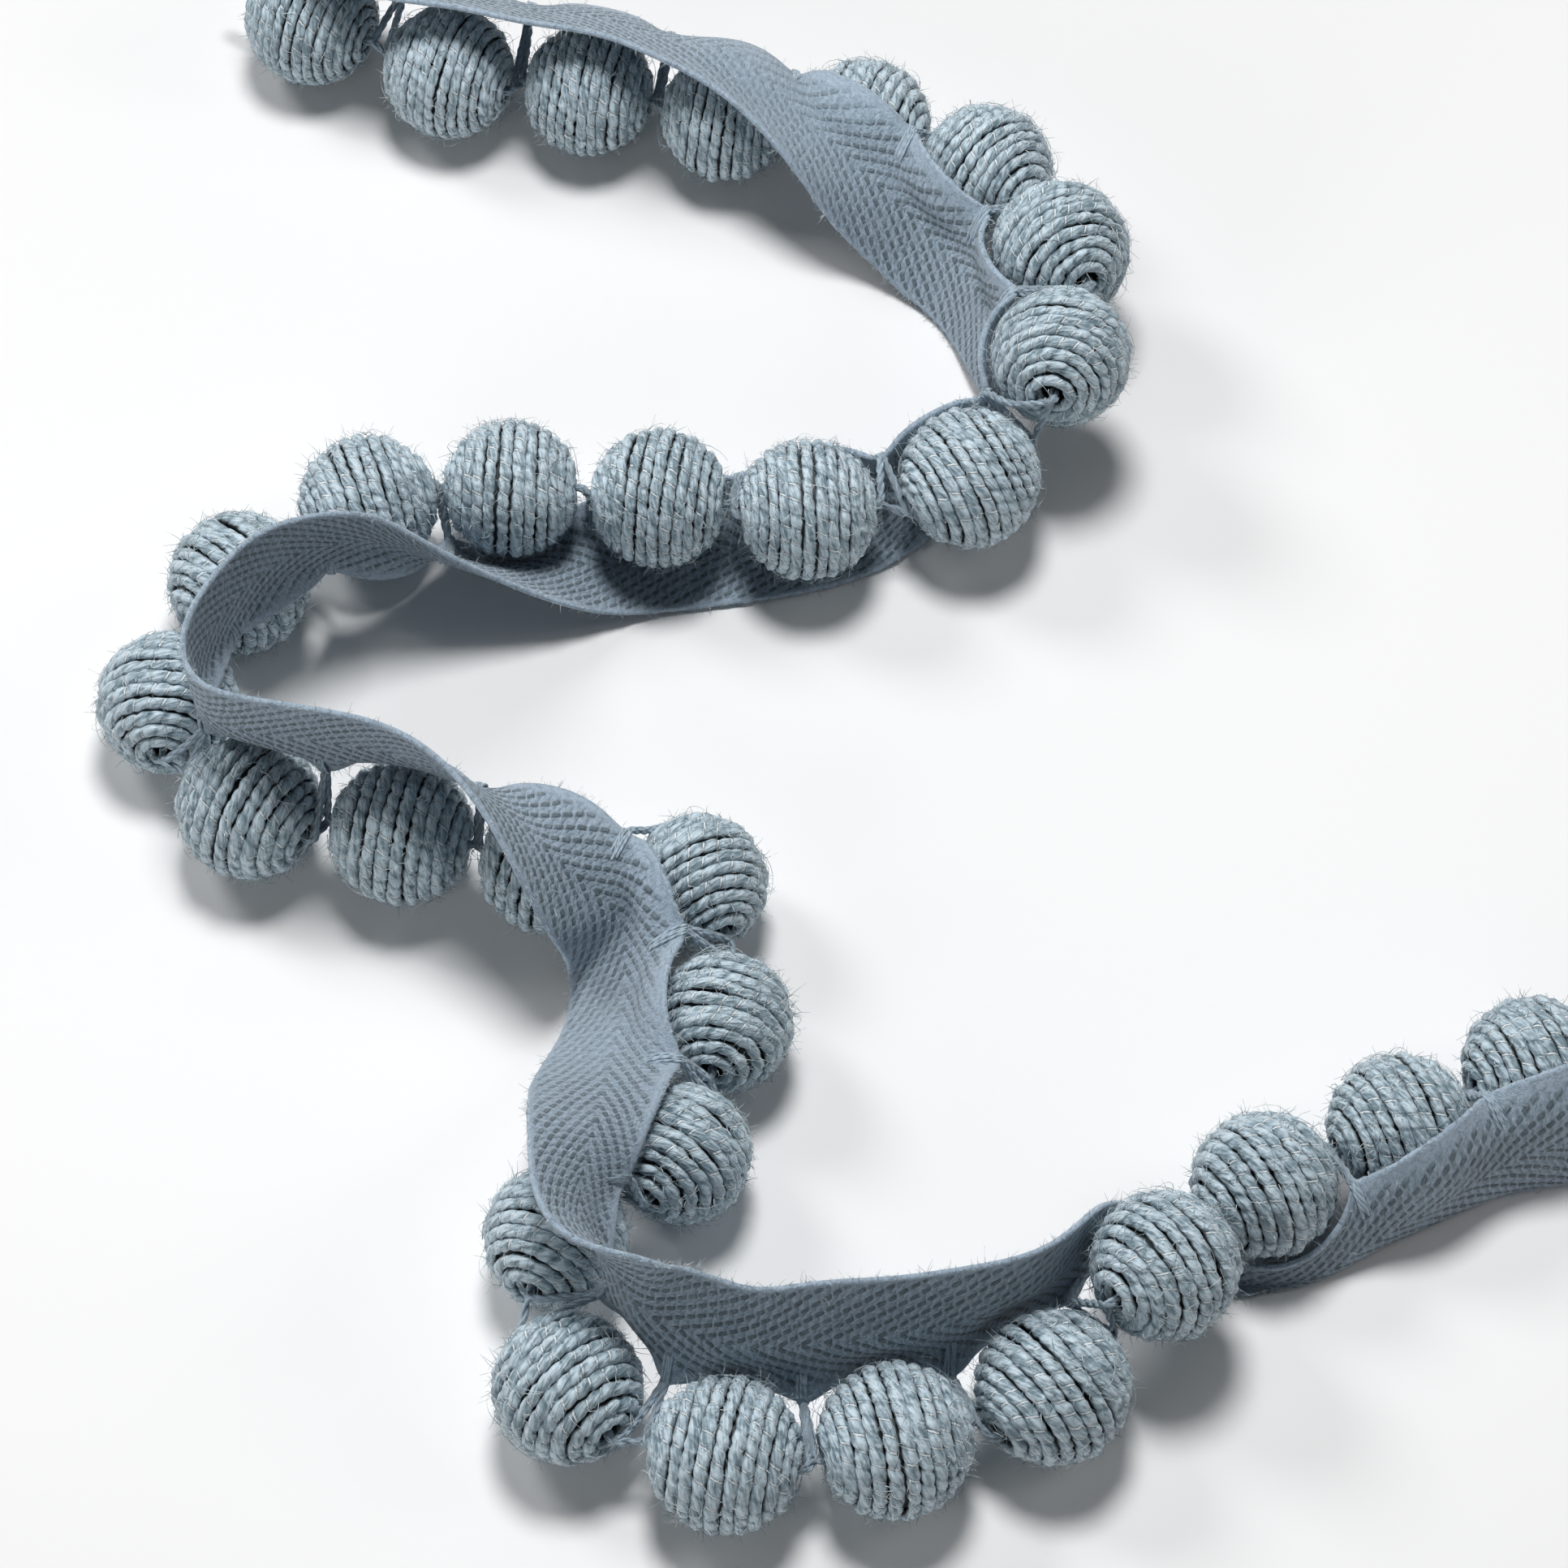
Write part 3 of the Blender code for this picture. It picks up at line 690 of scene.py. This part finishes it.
def add_hairs(shape, ball, rng, mess):
    """Short fuzz and loose fibres all over the ball, but for where it meets the surface."""
    centre = np.array(ball_centre(ball))
    count = int(FUZZ_PER_BALL * (FUZZ_NEAT + (1 - FUZZ_NEAT) * mess))
    out = unit(rng.normal(size=(count, 3)))
    out = out[centre[2] + out[:, 2] * ball.radius > FUZZ_LOWEST]
    root = centre + out * (ball.radius - HAIR_ROOT)
    add_fibres(shape, fuzz(rng, root, out, FUZZ_LENGTH, FUZZ_RISE), HAIR_RADIUS)
    out = unit(rng.normal(size=(int(LOOSE_PER_BALL * mess), 3)))
    out = out[centre[2] + out[:, 2] * ball.radius > LOOSE_LOWEST]
    add_fibres(shape, loose(rng, out, ball.radius) + centre, HAIR_RADIUS)


def add_ball(number, ball, materials):
    """One wound ball: its twine, its core and its hairs."""
    rng = np.random.default_rng(BALL_SEED + number)
    shape = Shape()
    mess = MESSY.get(number, 1.0)
    gauge = GAUGE.get(number, 1.0)
    add_twine(shape, ball, rng, mess, gauge)
    add_core(shape, ball, gauge)
    add_hairs(shape, ball, rng, mess)
    piece = shape.build(f"wound_ball_{number:02d}", materials, tone=rng.uniform(*TONES))
    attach(piece, "root")
    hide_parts(f"ball_{number:02d}")


def cloth_grid():
    """The middle of the tape's cloth as rows of points, with the place of each row."""
    places = tape_places()
    sections = settled(places, [tape_section(place) for place in places])
    grid = np.array([[tuple(p) for p in section] for section in sections])
    grid = finer(grid, CLOTH_ROWS)
    grid = finer(grid.swapaxes(0, 1), CLOTH_STRIPS).swapaxes(0, 1)
    at = np.linspace(places[0], places[-1], len(grid))
    return cleared(softened(grid)), at


def softened(grid):
    """The cloth with its sharper folds evened out along the tape."""
    reach = int(3 * CLOTH_SOFT)
    weight = np.exp(-0.5 * (np.arange(-reach, reach + 1) / CLOTH_SOFT) ** 2)
    weight /= weight.sum()
    start = 2 * grid[:1] - grid[reach:0:-1]
    end = 2 * grid[-1:] - grid[-2 : -reach - 2 : -1]
    padded = np.concatenate([start, grid, end])
    soft = np.zeros_like(grid)
    for k, w in enumerate(weight):
        soft += w * padded[k : k + len(grid)]
    return soft


def cleared(grid):
    """The cloth moved out of the balls, and up off the surface."""
    for ball, centre in zip(BALLS, CENTRES):
        away = grid - np.array(centre)
        distance = np.linalg.norm(away, axis=-1, keepdims=True)
        least = ball.radius + CLOTH_CLEAR + CLOTH_THICK / 2
        grid = np.where(distance < least, np.array(centre) + away * (least / distance), grid)
    grid[..., 2] = np.maximum(grid[..., 2], CLOTH_THICK / 2)
    return grid


def tucked(grid, at):
    """The sewn edge drawn towards the bores at each tie."""
    across = np.linspace(0, TAPE_WIDTH, grid.shape[1])
    fade = np.clip(1 - across / CLOTH_TUCK_REACH, 0, 1) ** 2
    line = np.array([tuple(line_point(p)) for p in at])
    inward = unit(line - grid[:, 0])
    from_tie = np.abs(at - np.clip(np.floor(at) + 0.5, 1.5, len(BALLS) - 0.5))
    draw = CLOTH_TUCK * np.exp(-((from_tie / CLOTH_TUCK_ALONG) ** 2))
    return grid + inward[:, None] * (draw[:, None] * fade[None, :])[..., None]


def cloth_normals(grid):
    """The way off the cloth's face at each of its points."""
    along = np.gradient(grid, axis=0)
    across = np.gradient(grid, axis=1)
    return unit(np.cross(along, across))


def add_cloth(grid, at, materials):
    """The tape: both faces of the cloth and its two rolled edges, as one closed sheet with hairy edges."""
    rng = np.random.default_rng(TAPE_SEED)
    rows, wide = grid.shape[:2]
    normal = cloth_normals(grid)
    half = CLOTH_THICK / 2
    edge_in = unit(grid[:, 0] - grid[:, 1])
    edge_out = unit(grid[:, -1] - grid[:, -2])
    length = run_lengths(grid[:, wide // 2])
    across = np.linspace(0, TAPE_WIDTH, wide)
    worn_in = rng.normal(0, RIM_WORN, (rows, 1))
    worn_out = rng.normal(0, RIM_WORN, (rows, 1))
    front = grid + normal * half
    back = (grid - normal * half)[:, ::-1]
    rim_out = (grid[:, -1] + edge_out * (half * RIM_ROUND + worn_out))[:, None]
    rim_in = (grid[:, 0] + edge_in * (half * RIM_ROUND + worn_in))[:, None]
    ring = np.concatenate([front, rim_out, back, rim_in], axis=1)
    ring[..., 2] = np.maximum(ring[..., 2], 0.0)
    v = np.concatenate([across, [TAPE_WIDTH + RIM_UV], across[::-1], [-RIM_UV]])
    uv = np.stack(np.broadcast_arrays(length[:, None], v[None, :]), axis=-1)
    sides = len(v)
    relief = np.ones((rows, sides))
    for place, reach, left in SMOOTHED:
        near = np.exp(-(((at - place) / reach) ** 2))[:, None]
        relief = relief * (1 - near * (1 - left))
    shape = Shape()
    shape.add(ring.reshape(-1, 3), tube_faces(rows, sides), uv.reshape(-1, 2), relief.ravel())
    add_lint(shape, grid, normal, rng)
    piece = shape.build("twill_tape", materials)
    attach(piece, "root")
    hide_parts("tape")


def add_lint(shape, grid, normal, rng):
    """Short fibres that stand off the tape's two edges, and fewer off its faces."""
    rows, wide = grid.shape[:2]
    half = CLOTH_THICK / 2
    for column, inner in ((0, 1), (wide - 1, wide - 2)):
        row = rng.integers(1, rows - 1, LINT_PER_EDGE)
        out = unit(grid[row, column] - grid[row, inner])
        span = rng.uniform(-EDGE_LINT_SPAN, EDGE_LINT_SPAN, (LINT_PER_EDGE, 1))
        root = grid[row, column] + normal[row, column] * span * half
        add_fibres(shape, fuzz(rng, root, out, EDGE_LINT_LENGTH, EDGE_LINT_RISE), LINT_RADIUS)
    row = rng.integers(1, rows - 1, LINT_ON_FACES)
    column = rng.integers(1, wide - 1, LINT_ON_FACES)
    out = normal[row, column] * rng.choice([-1.0, 1.0], (LINT_ON_FACES, 1))
    root = grid[row, column] + out * half * FACE_LINT_ROOT
    add_fibres(shape, fuzz(rng, root, out, FACE_LINT_LENGTH, FACE_LINT_RISE), LINT_RADIUS)


def spun(points, count):
    """A smooth path through a few points."""
    return finer(np.array([tuple(p) for p in points]), count)


def add_plies(shape, points, count, twist):
    """Strands twisted together along the points."""
    path = spun(points, TIE_DETAIL)
    up, side = carried_frames(path)
    for k in range(count):
        angle = (twist + TURN * k / count + TURN * run_lengths(path) / PLY_PITCH)[:, None]
        out = up * np.cos(angle) + side * np.sin(angle)
        add_strand(shape, path + out * STRAND_RADIUS * PLY_OUT, STRAND_RADIUS, STRAND_LOWEST)


def add_tacks(shape, row, grid, rng):
    """Stitches side by side, each from one face of the tape round its sewn edge to the other."""
    normals = cloth_normals(grid[row - 2 : row + 3])[2]
    inward = unit(grid[row, 1] - grid[row, 0])
    along = unit(grid[row + 2, 0] - grid[row - 2, 0])
    columns = np.arange(grid.shape[1])

    def on_cloth(across, lift):
        column = across / TAPE_WIDTH * columns[-1]
        raised = grid[row] + normals * lift
        return np.array([np.interp(column, columns, raised[:, c]) for c in range(3)])

    skin = CLOTH_THICK / 2 + TACK_RADIUS * TACK_SUNK
    for k in range(TACKS):
        aside = along * (k - (TACKS - 1) / 2) * TACK_GAP
        reach = TACK_LENGTH * rng.uniform(*TACK_RANGE)
        way = [(reach, TACK_END)]
        way += [(reach * share, skin + lift) for share, lift in TACK_WAY]
        way += [(TACK_NEAR, skin)]
        front = [on_cloth(across, lift) for across, lift in way]
        back = [on_cloth(across, -lift) for across, lift in reversed(way)]
        steps = [*front, grid[row, 0] - inward * TACK_OUT, *back]
        slant = np.linspace(-1, 1, len(steps)) * TACK_SLANT
        steps = [p + aside + along * s + rng.normal(0, TACK_UNEVEN, 3) for p, s in zip(steps, slant)]
        add_strand(shape, spun(steps, TACK_DETAIL), TACK_RADIUS, STRAND_LOWEST)


def add_tie(shape, number, grid, at, rng):
    """The yarn from bore to bore, partly by way of the tape's edge, and the tacks that hold it there."""
    place = number + 0.5
    before = BALLS[number - 1]
    after = BALLS[number]
    out = bore_line(before)
    back = -bore_line(after)
    leaving = ball_centre(before) + out * before.radius
    arriving = ball_centre(after) + back * after.radius
    start = [leaving - out * YARN_IN, leaving]
    end = [arriving, arriving - back * YARN_IN]
    row = int(np.argmin(np.abs(at - place)))
    inward = unit(grid[row, 1] - grid[row, 0])
    corner = Vector(grid[row, 0] - inward * CORNER_OUT)
    ahead = pushed_clear(leaving.lerp(corner, 0.5), place, TIE_CLEAR, TIE_CLEAR, TIE_ROUNDS)
    behind = pushed_clear(arriving.lerp(corner, 0.5), place, TIE_CLEAR, TIE_CLEAR, TIE_ROUNDS)
    twist = rng.uniform(0, TURN)
    add_plies(shape, [*start, ahead, corner, behind, *end], TIE_PLIES, twist)
    add_plies(shape, [*start, (leaving + arriving) * 0.5, *end], BORE_PLIES, twist)
    add_tacks(shape, row, grid, rng)


def add_yarn(grid, at, materials):
    """The yarn between the balls, its ties to the tape, and its two tails."""
    rng = np.random.default_rng(YARN_SEED)
    shape = Shape()
    for number in range(1, len(BALLS)):
        add_tie(shape, number, grid, at, rng)
    droop = Vector((0.0, 0.0, YARN_DROOP))
    for ball, way in ((BALLS[0], -1), (BALLS[-1], 1)):
        out = bore_line(ball) * way
        mouth = ball_centre(ball) + out * ball.radius
        tail = [mouth - out * YARN_IN, mouth, mouth + out * YARN_TAIL, mouth + out * 2 * YARN_TAIL - droop]
        add_strand(shape, spun(tail, TAIL_DETAIL), STRAND_RADIUS * 2)
    piece = shape.build("stringing_and_ties", materials)
    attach(piece, "root")
    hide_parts("stringing_yarn")


class Nodes:
    """A short way to write a material's nodes."""

    def __init__(self, name):
        self.material = bpy.data.materials.new(name)
        self.material.use_nodes = True
        self.tree = self.material.node_tree
        self.shader = self.tree.nodes["Principled BSDF"]

    def add(self, kind, *inputs, **settings):
        node = self.tree.nodes.new("ShaderNode" + kind)
        for key, value in settings.items():
            setattr(node, key, value)
        for k, value in enumerate(inputs):
            self.feed(node.inputs[k], value)
        return node

    def feed(self, socket, value):
        """Link a node's output to the socket, or set its value."""
        if isinstance(value, bpy.types.NodeSocket):
            self.tree.links.new(value, socket)
        elif value is not None:
            socket.default_value = value

    def math(self, operation, *inputs, clamp=False):
        return self.add("Math", *inputs, operation=operation, use_clamp=clamp).outputs[0]

    def plus(self, a, b):
        return self.math("ADD", a, b)

    def minus(self, a, b):
        return self.math("SUBTRACT", a, b)

    def times(self, a, b, clamp=False):
        return self.math("MULTIPLY", a, b, clamp=clamp)

    def from_half(self, value):
        """The value's fraction less a half."""
        return self.minus(self.math("FRACT", value), 0.5)

    def off_half(self, value):
        """How far the value's fraction is from a half."""
        return self.math("ABSOLUTE", self.from_half(value))

    def number(self, label):
        return self.add("Attribute", attribute_name=label).outputs["Fac"]

    def uv(self):
        where = self.add("UVMap", uv_map="thread").outputs[0]
        return self.add("SeparateXYZ", where).outputs

    def noise(self, where, scale, detail=2.0, rough=0.5):
        node = self.add("TexNoise")
        self.feed(node.inputs["Vector"], where)
        node.inputs["Scale"].default_value = scale
        node.inputs["Detail"].default_value = detail
        node.inputs["Roughness"].default_value = rough
        return node.outputs[0]

    def space(self, scale):
        """Object coordinates in millimetres, times the scale."""
        where = self.add("TexCoord").outputs["Object"]
        return self.add("VectorMath", where, (scale / MM,) * 3, operation="MULTIPLY").outputs[0]

    def point(self, x, y, z=0.0):
        return self.add("CombineXYZ", x, y, z).outputs[0]

    def ramp(self, value, low, high):
        """A smooth step that is 0 at low and 1 at high, whichever is greater."""
        return self.add("MapRange", value, low, high, interpolation_type="SMOOTHSTEP").outputs[0]

    def blend(self, share, first, second):
        node = self.add("Mix", data_type="RGBA")
        self.feed(node.inputs["Factor"], share)
        for label, value in (("A", first), ("B", second)):
            socket = [s for s in node.inputs if s.name == label and s.type == "RGBA"][0]
            self.feed(socket, value)
        return [s for s in node.outputs if s.type == "RGBA"][0]

    def bump(self, height, distance, strength=1.0, under=None):
        node = self.add("Bump")
        node.inputs["Strength"].default_value = strength
        node.inputs["Distance"].default_value = distance
        self.feed(node.inputs["Height"], height)
        self.feed(node.inputs["Normal"], under)
        return node.outputs[0]

    def finish(self, colour, normal, rough, sheen=0.0, sheen_rough=0.5):
        """The material, with these on its shader."""
        self.feed(self.shader.inputs["Base Color"], colour)
        self.feed(self.shader.inputs["Normal"], normal)
        self.shader.inputs["Roughness"].default_value = rough
        self.shader.inputs["Sheen Weight"].default_value = sheen
        self.shader.inputs["Sheen Roughness"].default_value = sheen_rough
        return self.material


JUTE_DARK = (0.165, 0.248, 0.298, 1.0)
JUTE_LIGHT = (0.610, 0.735, 0.815, 1.0)
JUTE_THREAD = (0.880, 0.930, 0.950, 1.0)
# painted shade in the grooves between the turns and over the core
JUTE_GROOVE_SHADE = (0.035, 0.056, 0.064, 1.0)
# painted shade in the weave's grooves and pits
TWILL_PIT_SHADE = (0.046, 0.090, 0.112, 1.0)
TWILL_MAIN = (0.285, 0.390, 0.480, 1.0)
TWILL_LIGHT = (0.462, 0.576, 0.705, 1.0)
YARN_MAIN = (0.300, 0.390, 0.430, 1.0)
HAIR_MAIN = (0.330, 0.420, 0.460, 1.0)
HAIR_LIGHT = (0.820, 0.880, 0.900, 1.0)

# Each pair below is where a smooth step starts and where it is full.
# Noises of the twine: scale along it, scale round it, detail and roughness.
THREAD_WAVER = (0.8, 6.0, 1.0, 0.5)
THREAD_WEAR = (0.25, 2.0, 2.0, 0.5)
FIBRE_GRAIN = (0.60, 12.0, 2.0, 0.55)
CLUMP_GRAIN = (1.0, 4.5, 1.5, 0.5)
THREAD_DRIFT = 0.10  # how far the thread wavers, in its own turns
THREAD_PHASE = 0.45  # brings the thread onto the rings of points that it draws in
THREAD_EDGE = (0.080, 0.040)
THREAD_SEEN = (0.40, 0.56)
THREAD_COVER = 0.95
PINCH_EDGE = (0.20, 0.03)
# painted shade in the crease where the thread draws the twine in
PINCH_PAINTED_SHADE = 0.17
FIBRE_SHARE = 1.1
CLUMP_SHARE = 0.8
TONE_SHARE = 0.15
JUTE_RANGE = (0.70, 1.24)
# where the painted groove shade starts and where it is full, by how far a point faces out
GROOVE_SHADE_RANGE = (0.72, 0.36)
FIBRE_BUMP = 0.00040
THREAD_BUMP = 0.00010

# Noises of the tape: scale, detail and roughness.
WEAVE_WAVER = (0.45, 2.0, 0.5)
WEAVE_CHANCE = (1.2, 1.0, 0.5)
WEAVE_WEAR = (0.28, 3.0, 0.5)
LINT_GRAIN = (4.5, 4.0, 0.7)
PATCH_GRAIN = (2.2, 1.5, 0.5)
WALE_WAVER = 0.26
PIT_WAVER = 0.4
PIT_CHANCE = 3.0  # each wale's pits start anywhere in this many
PIT_STRIDE = 7.31  # from wale to wale through the noise that says where
# where the weave's grooves, pits and seams are painted with shade, and how strongly
GROOVE_EDGE = (0.27, 0.06)
DASH_EDGE = (0.46, 0.20)
DASH_SHARE = 0.85  # how much of a groove is in its pits
SEAM_EDGE = (0.22, 0.02)
SEAM_SHARE = 0.28
CHANCE_RANGE = (0.55, 0.8)  # the least share of a groove that shows, and how much more chance adds
SEWN_SELVEDGE = (0.6, 2.0)
FREE_SELVEDGE = (TAPE_WIDTH - 0.2, TAPE_WIDTH - 1.1)
WEAR_EDGE = (0.30, 0.55)
WEAR_SHARE = 0.40
LINT_SHARE = 0.6
PATCH_SHARE = 0.6
CHANCE_SHADE = 0.25
INNER_SHADE = 0.06  # how much duller it is between its selvedges
TWILL_RANGE = (0.40, 0.72)
# how fully the painted shade covers the grooves and pits
SLOT_COVER = 0.84
SLOT_BUMP = 0.00045
LINT_BUMP = 0.00026

TINT_PATCH = 0.8
HAIR_RANGE = (0.48, 0.62)
YARN_TWIST = (6.5, 12.0)  # ripples along the yarn and round it
YARN_BUMP = 0.00006


def twine_material():
    """Straight fibres in a bundle, bound crosswise by a fine lighter thread, with painted shade between the
    turns and where the thread draws the twine in.
    """
    m = Nodes("jute_twine")
    u, v, _ = m.uv()
    tone = m.number("tone")
    relief = m.number("relief")

    def grain(around, along_scale, around_scale, detail, rough):
        where = m.point(m.times(u, along_scale), m.times(around, around_scale), tone)
        return m.noise(where, 1.0, detail, rough)

    wrap = m.minus(m.math("DIVIDE", u, TWINE_WRAP), v)
    wrap = m.plus(wrap, m.times(grain(v, *THREAD_WAVER), THREAD_DRIFT))
    across = m.off_half(m.plus(wrap, THREAD_PHASE))
    thread = m.times(m.ramp(across, *THREAD_EDGE), m.ramp(grain(v, *THREAD_WEAR), *THREAD_SEEN))
    pinch = m.ramp(across, *PINCH_EDGE)
    spiral = m.minus(v, m.times(u, FIBRE_TWIST))
    fibres = grain(spiral, *FIBRE_GRAIN)
    clumps = grain(spiral, *CLUMP_GRAIN)
    mixed = m.plus(m.times(fibres, FIBRE_SHARE), m.times(clumps, CLUMP_SHARE))
    mixed = m.plus(mixed, m.times(tone, TONE_SHARE))
    # painted shade in the crease where the thread draws the twine in
    mixed = m.minus(mixed, m.times(pinch, PINCH_PAINTED_SHADE))
    colour = m.blend(m.ramp(mixed, *JUTE_RANGE), JUTE_DARK, JUTE_LIGHT)
    colour = m.blend(m.times(thread, THREAD_COVER), colour, JUTE_THREAD)
    # painted shade in the grooves between the turns, where a point faces away from outside
    colour = m.blend(m.ramp(relief, *GROOVE_SHADE_RANGE), colour, JUTE_GROOVE_SHADE)
    bump = m.bump(m.plus(m.times(fibres, 0.6), clumps), FIBRE_BUMP)
    bump = m.bump(m.minus(thread, m.times(pinch, 0.5)), THREAD_BUMP, 0.9, bump)
    return m.finish(colour, bump, rough=0.55, sheen=0.25)


def hair_material():
    """Single fibres, some of them bleached."""
    m = Nodes("jute_hair")
    tint = m.ramp(m.noise(m.space(TINT_PATCH), 1.0), *HAIR_RANGE)
    return m.finish(m.blend(tint, HAIR_MAIN, HAIR_LIGHT), None, rough=0.6)


def twill_material():
    """A herringbone: wales that slant away from the middle of the width, each a row of slanting floats, with
    painted shade in the grooves, pits and seams between them.
    """
    m = Nodes("herringbone_twill")
    u, v, _ = m.uv()
    where = m.point(u, v)
    waver = m.minus(m.noise(where, *WEAVE_WAVER), 0.5)
    chance = m.noise(where, *WEAVE_CHANCE)
    width = m.math("ABSOLUTE", m.minus(v, TAPE_WIDTH / 2))
    wale = m.minus(m.times(u, WALE_ALONG), m.times(width, WALE_ACROSS))
    wale = m.plus(wale, m.times(waver, WALE_WAVER))
    place = m.from_half(wale)
    groove = m.ramp(m.math("ABSOLUTE", place), *GROOVE_EDGE)
    pit = m.plus(m.times(u, PIT_ALONG), m.times(width, PIT_ACROSS))
    pit = m.plus(pit, m.times(waver, PIT_WAVER))
    row = m.times(m.math("FLOOR", wale), PIT_STRIDE)
    pit = m.plus(pit, m.times(m.noise(m.point(row, 0.5), 1.0, 1.0), PIT_CHANCE))
    dash = m.ramp(m.off_half(pit), *DASH_EDGE)
    seam = m.ramp(m.off_half(m.plus(pit, m.times(place, FLOAT_SLANT))), *SEAM_EDGE)
    dark = m.times(groove, m.plus(m.times(dash, DASH_SHARE), 1 - DASH_SHARE))
    dark = m.times(dark, m.plus(m.times(chance, CHANCE_RANGE[1]), CHANCE_RANGE[0]), clamp=True)
    dark = m.math("MAXIMUM", dark, m.times(seam, SEAM_SHARE))
    inner = m.times(m.ramp(v, *SEWN_SELVEDGE), m.ramp(v, *FREE_SELVEDGE))
    worn = m.ramp(m.noise(where, *WEAVE_WEAR), *WEAR_EDGE)
    worn = m.times(m.number("relief"), m.plus(m.times(worn, WEAR_SHARE), 1 - WEAR_SHARE))
    slot = m.times(m.times(dark, inner), worn)
    lint = m.noise(where, *LINT_GRAIN)
    patch = m.noise(where, *PATCH_GRAIN)
    shade = m.plus(m.times(lint, LINT_SHARE), m.times(patch, PATCH_SHARE))
    shade = m.plus(shade, m.times(m.minus(chance, 0.5), CHANCE_SHADE))
    shade = m.minus(shade, m.times(inner, INNER_SHADE))
    colour = m.blend(m.ramp(shade, *TWILL_RANGE), TWILL_MAIN, TWILL_LIGHT)
    # painted shade in the weave's grooves, pits and seams
    colour = m.blend(m.times(slot, SLOT_COVER), colour, TWILL_PIT_SHADE)
    bump = m.bump(lint, LINT_BUMP, under=m.bump(m.minus(1.0, slot), SLOT_BUMP))
    return m.finish(colour, bump, rough=0.75, sheen=0.3, sheen_rough=0.6)


def yarn_material():
    """A soft yarn, rippled by its twist."""
    m = Nodes("slate_yarn")
    u, v, _ = m.uv()
    ply = m.math("SINE", m.plus(m.times(u, YARN_TWIST[0]), m.times(v, YARN_TWIST[1])))
    tint = m.noise(m.space(TINT_PATCH), 1.0, 3.0)
    colour = m.blend(tint, TWILL_LIGHT, YARN_MAIN)
    return m.finish(colour, m.bump(ply, YARN_BUMP, 0.8), rough=0.7, sheen=0.3)


# The floor is painted darker under the key light and paler away from it, which evens out the lamp's pool of
# light; its place and reach are in millimetres.
FLOOR_SIDE = 3.0
FLOOR_NEAR = (-10.0, 155.0, 0.0)
FLOOR_REACH = 270.0
FLOOR_INNER = (0.800, 0.800, 0.804, 1.0)
FLOOR_OUTER = (0.985, 0.985, 0.990, 1.0)


def add_floor():
    """The white surface that the trim lies on."""
    bpy.ops.mesh.primitive_plane_add(size=FLOOR_SIDE, location=(0, 0, 0))
    floor = bpy.context.object
    floor.name = "floor"
    m = Nodes("white_floor")
    far = m.add("VectorMath", m.space(1.0), FLOOR_NEAR, operation="DISTANCE").outputs["Value"]
    # painted darker under the key light and paler away from it, to even out the lamp's pool of light
    colour = m.blend(m.ramp(far, 0.0, FLOOR_REACH), FLOOR_INNER, FLOOR_OUTER)
    m.shader.inputs["Specular IOR Level"].default_value = 0.1
    floor.data.materials.append(m.finish(colour, None, rough=0.9))


# Round lamps that face the origin: place and width in metres, power in watts.
LAMPS = {
    "key": ((-0.01, 0.175, 0.59), 0.19, 2.9),
    "left": ((-0.72, 0.56, 0.76), 0.40, 4.3),
    "right": ((0.80, 0.10, 0.62), 0.40, 0.8),
    "front": ((-0.58, -0.60, 0.30), 0.50, 1.5),
}
WORLD_COLOUR = (0.95, 0.97, 1.0, 1.0)
WORLD_STRENGTH = 0.028


def light_scene():
    """The lamps and the faint light from all round."""
    for name, (at, size, power) in LAMPS.items():
        lamp = bpy.data.lights.new(name, "AREA")
        lamp.shape = "DISK"
        lamp.size = size
        lamp.energy = power
        holder = added(name, lamp)
        holder.location = at
        holder.rotation_mode = "QUATERNION"
        holder.rotation_quaternion = (-Vector(at)).to_track_quat("-Z", "Y")
    world = bpy.data.worlds.new("studio")
    world.use_nodes = True
    background = world.node_tree.nodes["Background"]
    background.inputs["Color"].default_value = WORLD_COLOUR
    background.inputs["Strength"].default_value = WORLD_STRENGTH
    bpy.context.scene.world = world
    bpy.context.scene.view_settings.view_transform = "Standard"


# The camera, as the photograph was taken, in the tables' millimetres.
CAMERA_TILT = 31.0
CAMERA_AT = (0.0, -270.9, 458.4)
CAMERA_LENS = 119.25
SENSOR = 36.0
CLIP = (0.01, 20.0)


def add_camera():
    """The camera of the photograph."""
    lens = bpy.data.cameras.new("camera")
    lens.lens = CAMERA_LENS
    lens.sensor_width = SENSOR
    lens.clip_start, lens.clip_end = CLIP
    camera = added("camera", lens)
    x, y, z = CAMERA_AT
    camera.location = ((x - MIDDLE[0]) * MM, (y - MIDDLE[1]) * MM, z * MM)
    camera.rotation_euler = (math.radians(CAMERA_TILT), 0, 0)
    bpy.context.scene.camera = camera


add_camera()
light_scene()
add_floor()
twine, hair = twine_material(), hair_material()
for index, ball_row in enumerate(BALLS):
    add_ball(index + 1, ball_row, [twine, hair])
cloth, cloth_places = cloth_grid()
cloth = tucked(cloth, cloth_places)
add_cloth(cloth, cloth_places, [twill_material(), hair])
add_yarn(cloth, cloth_places, [yarn_material()])
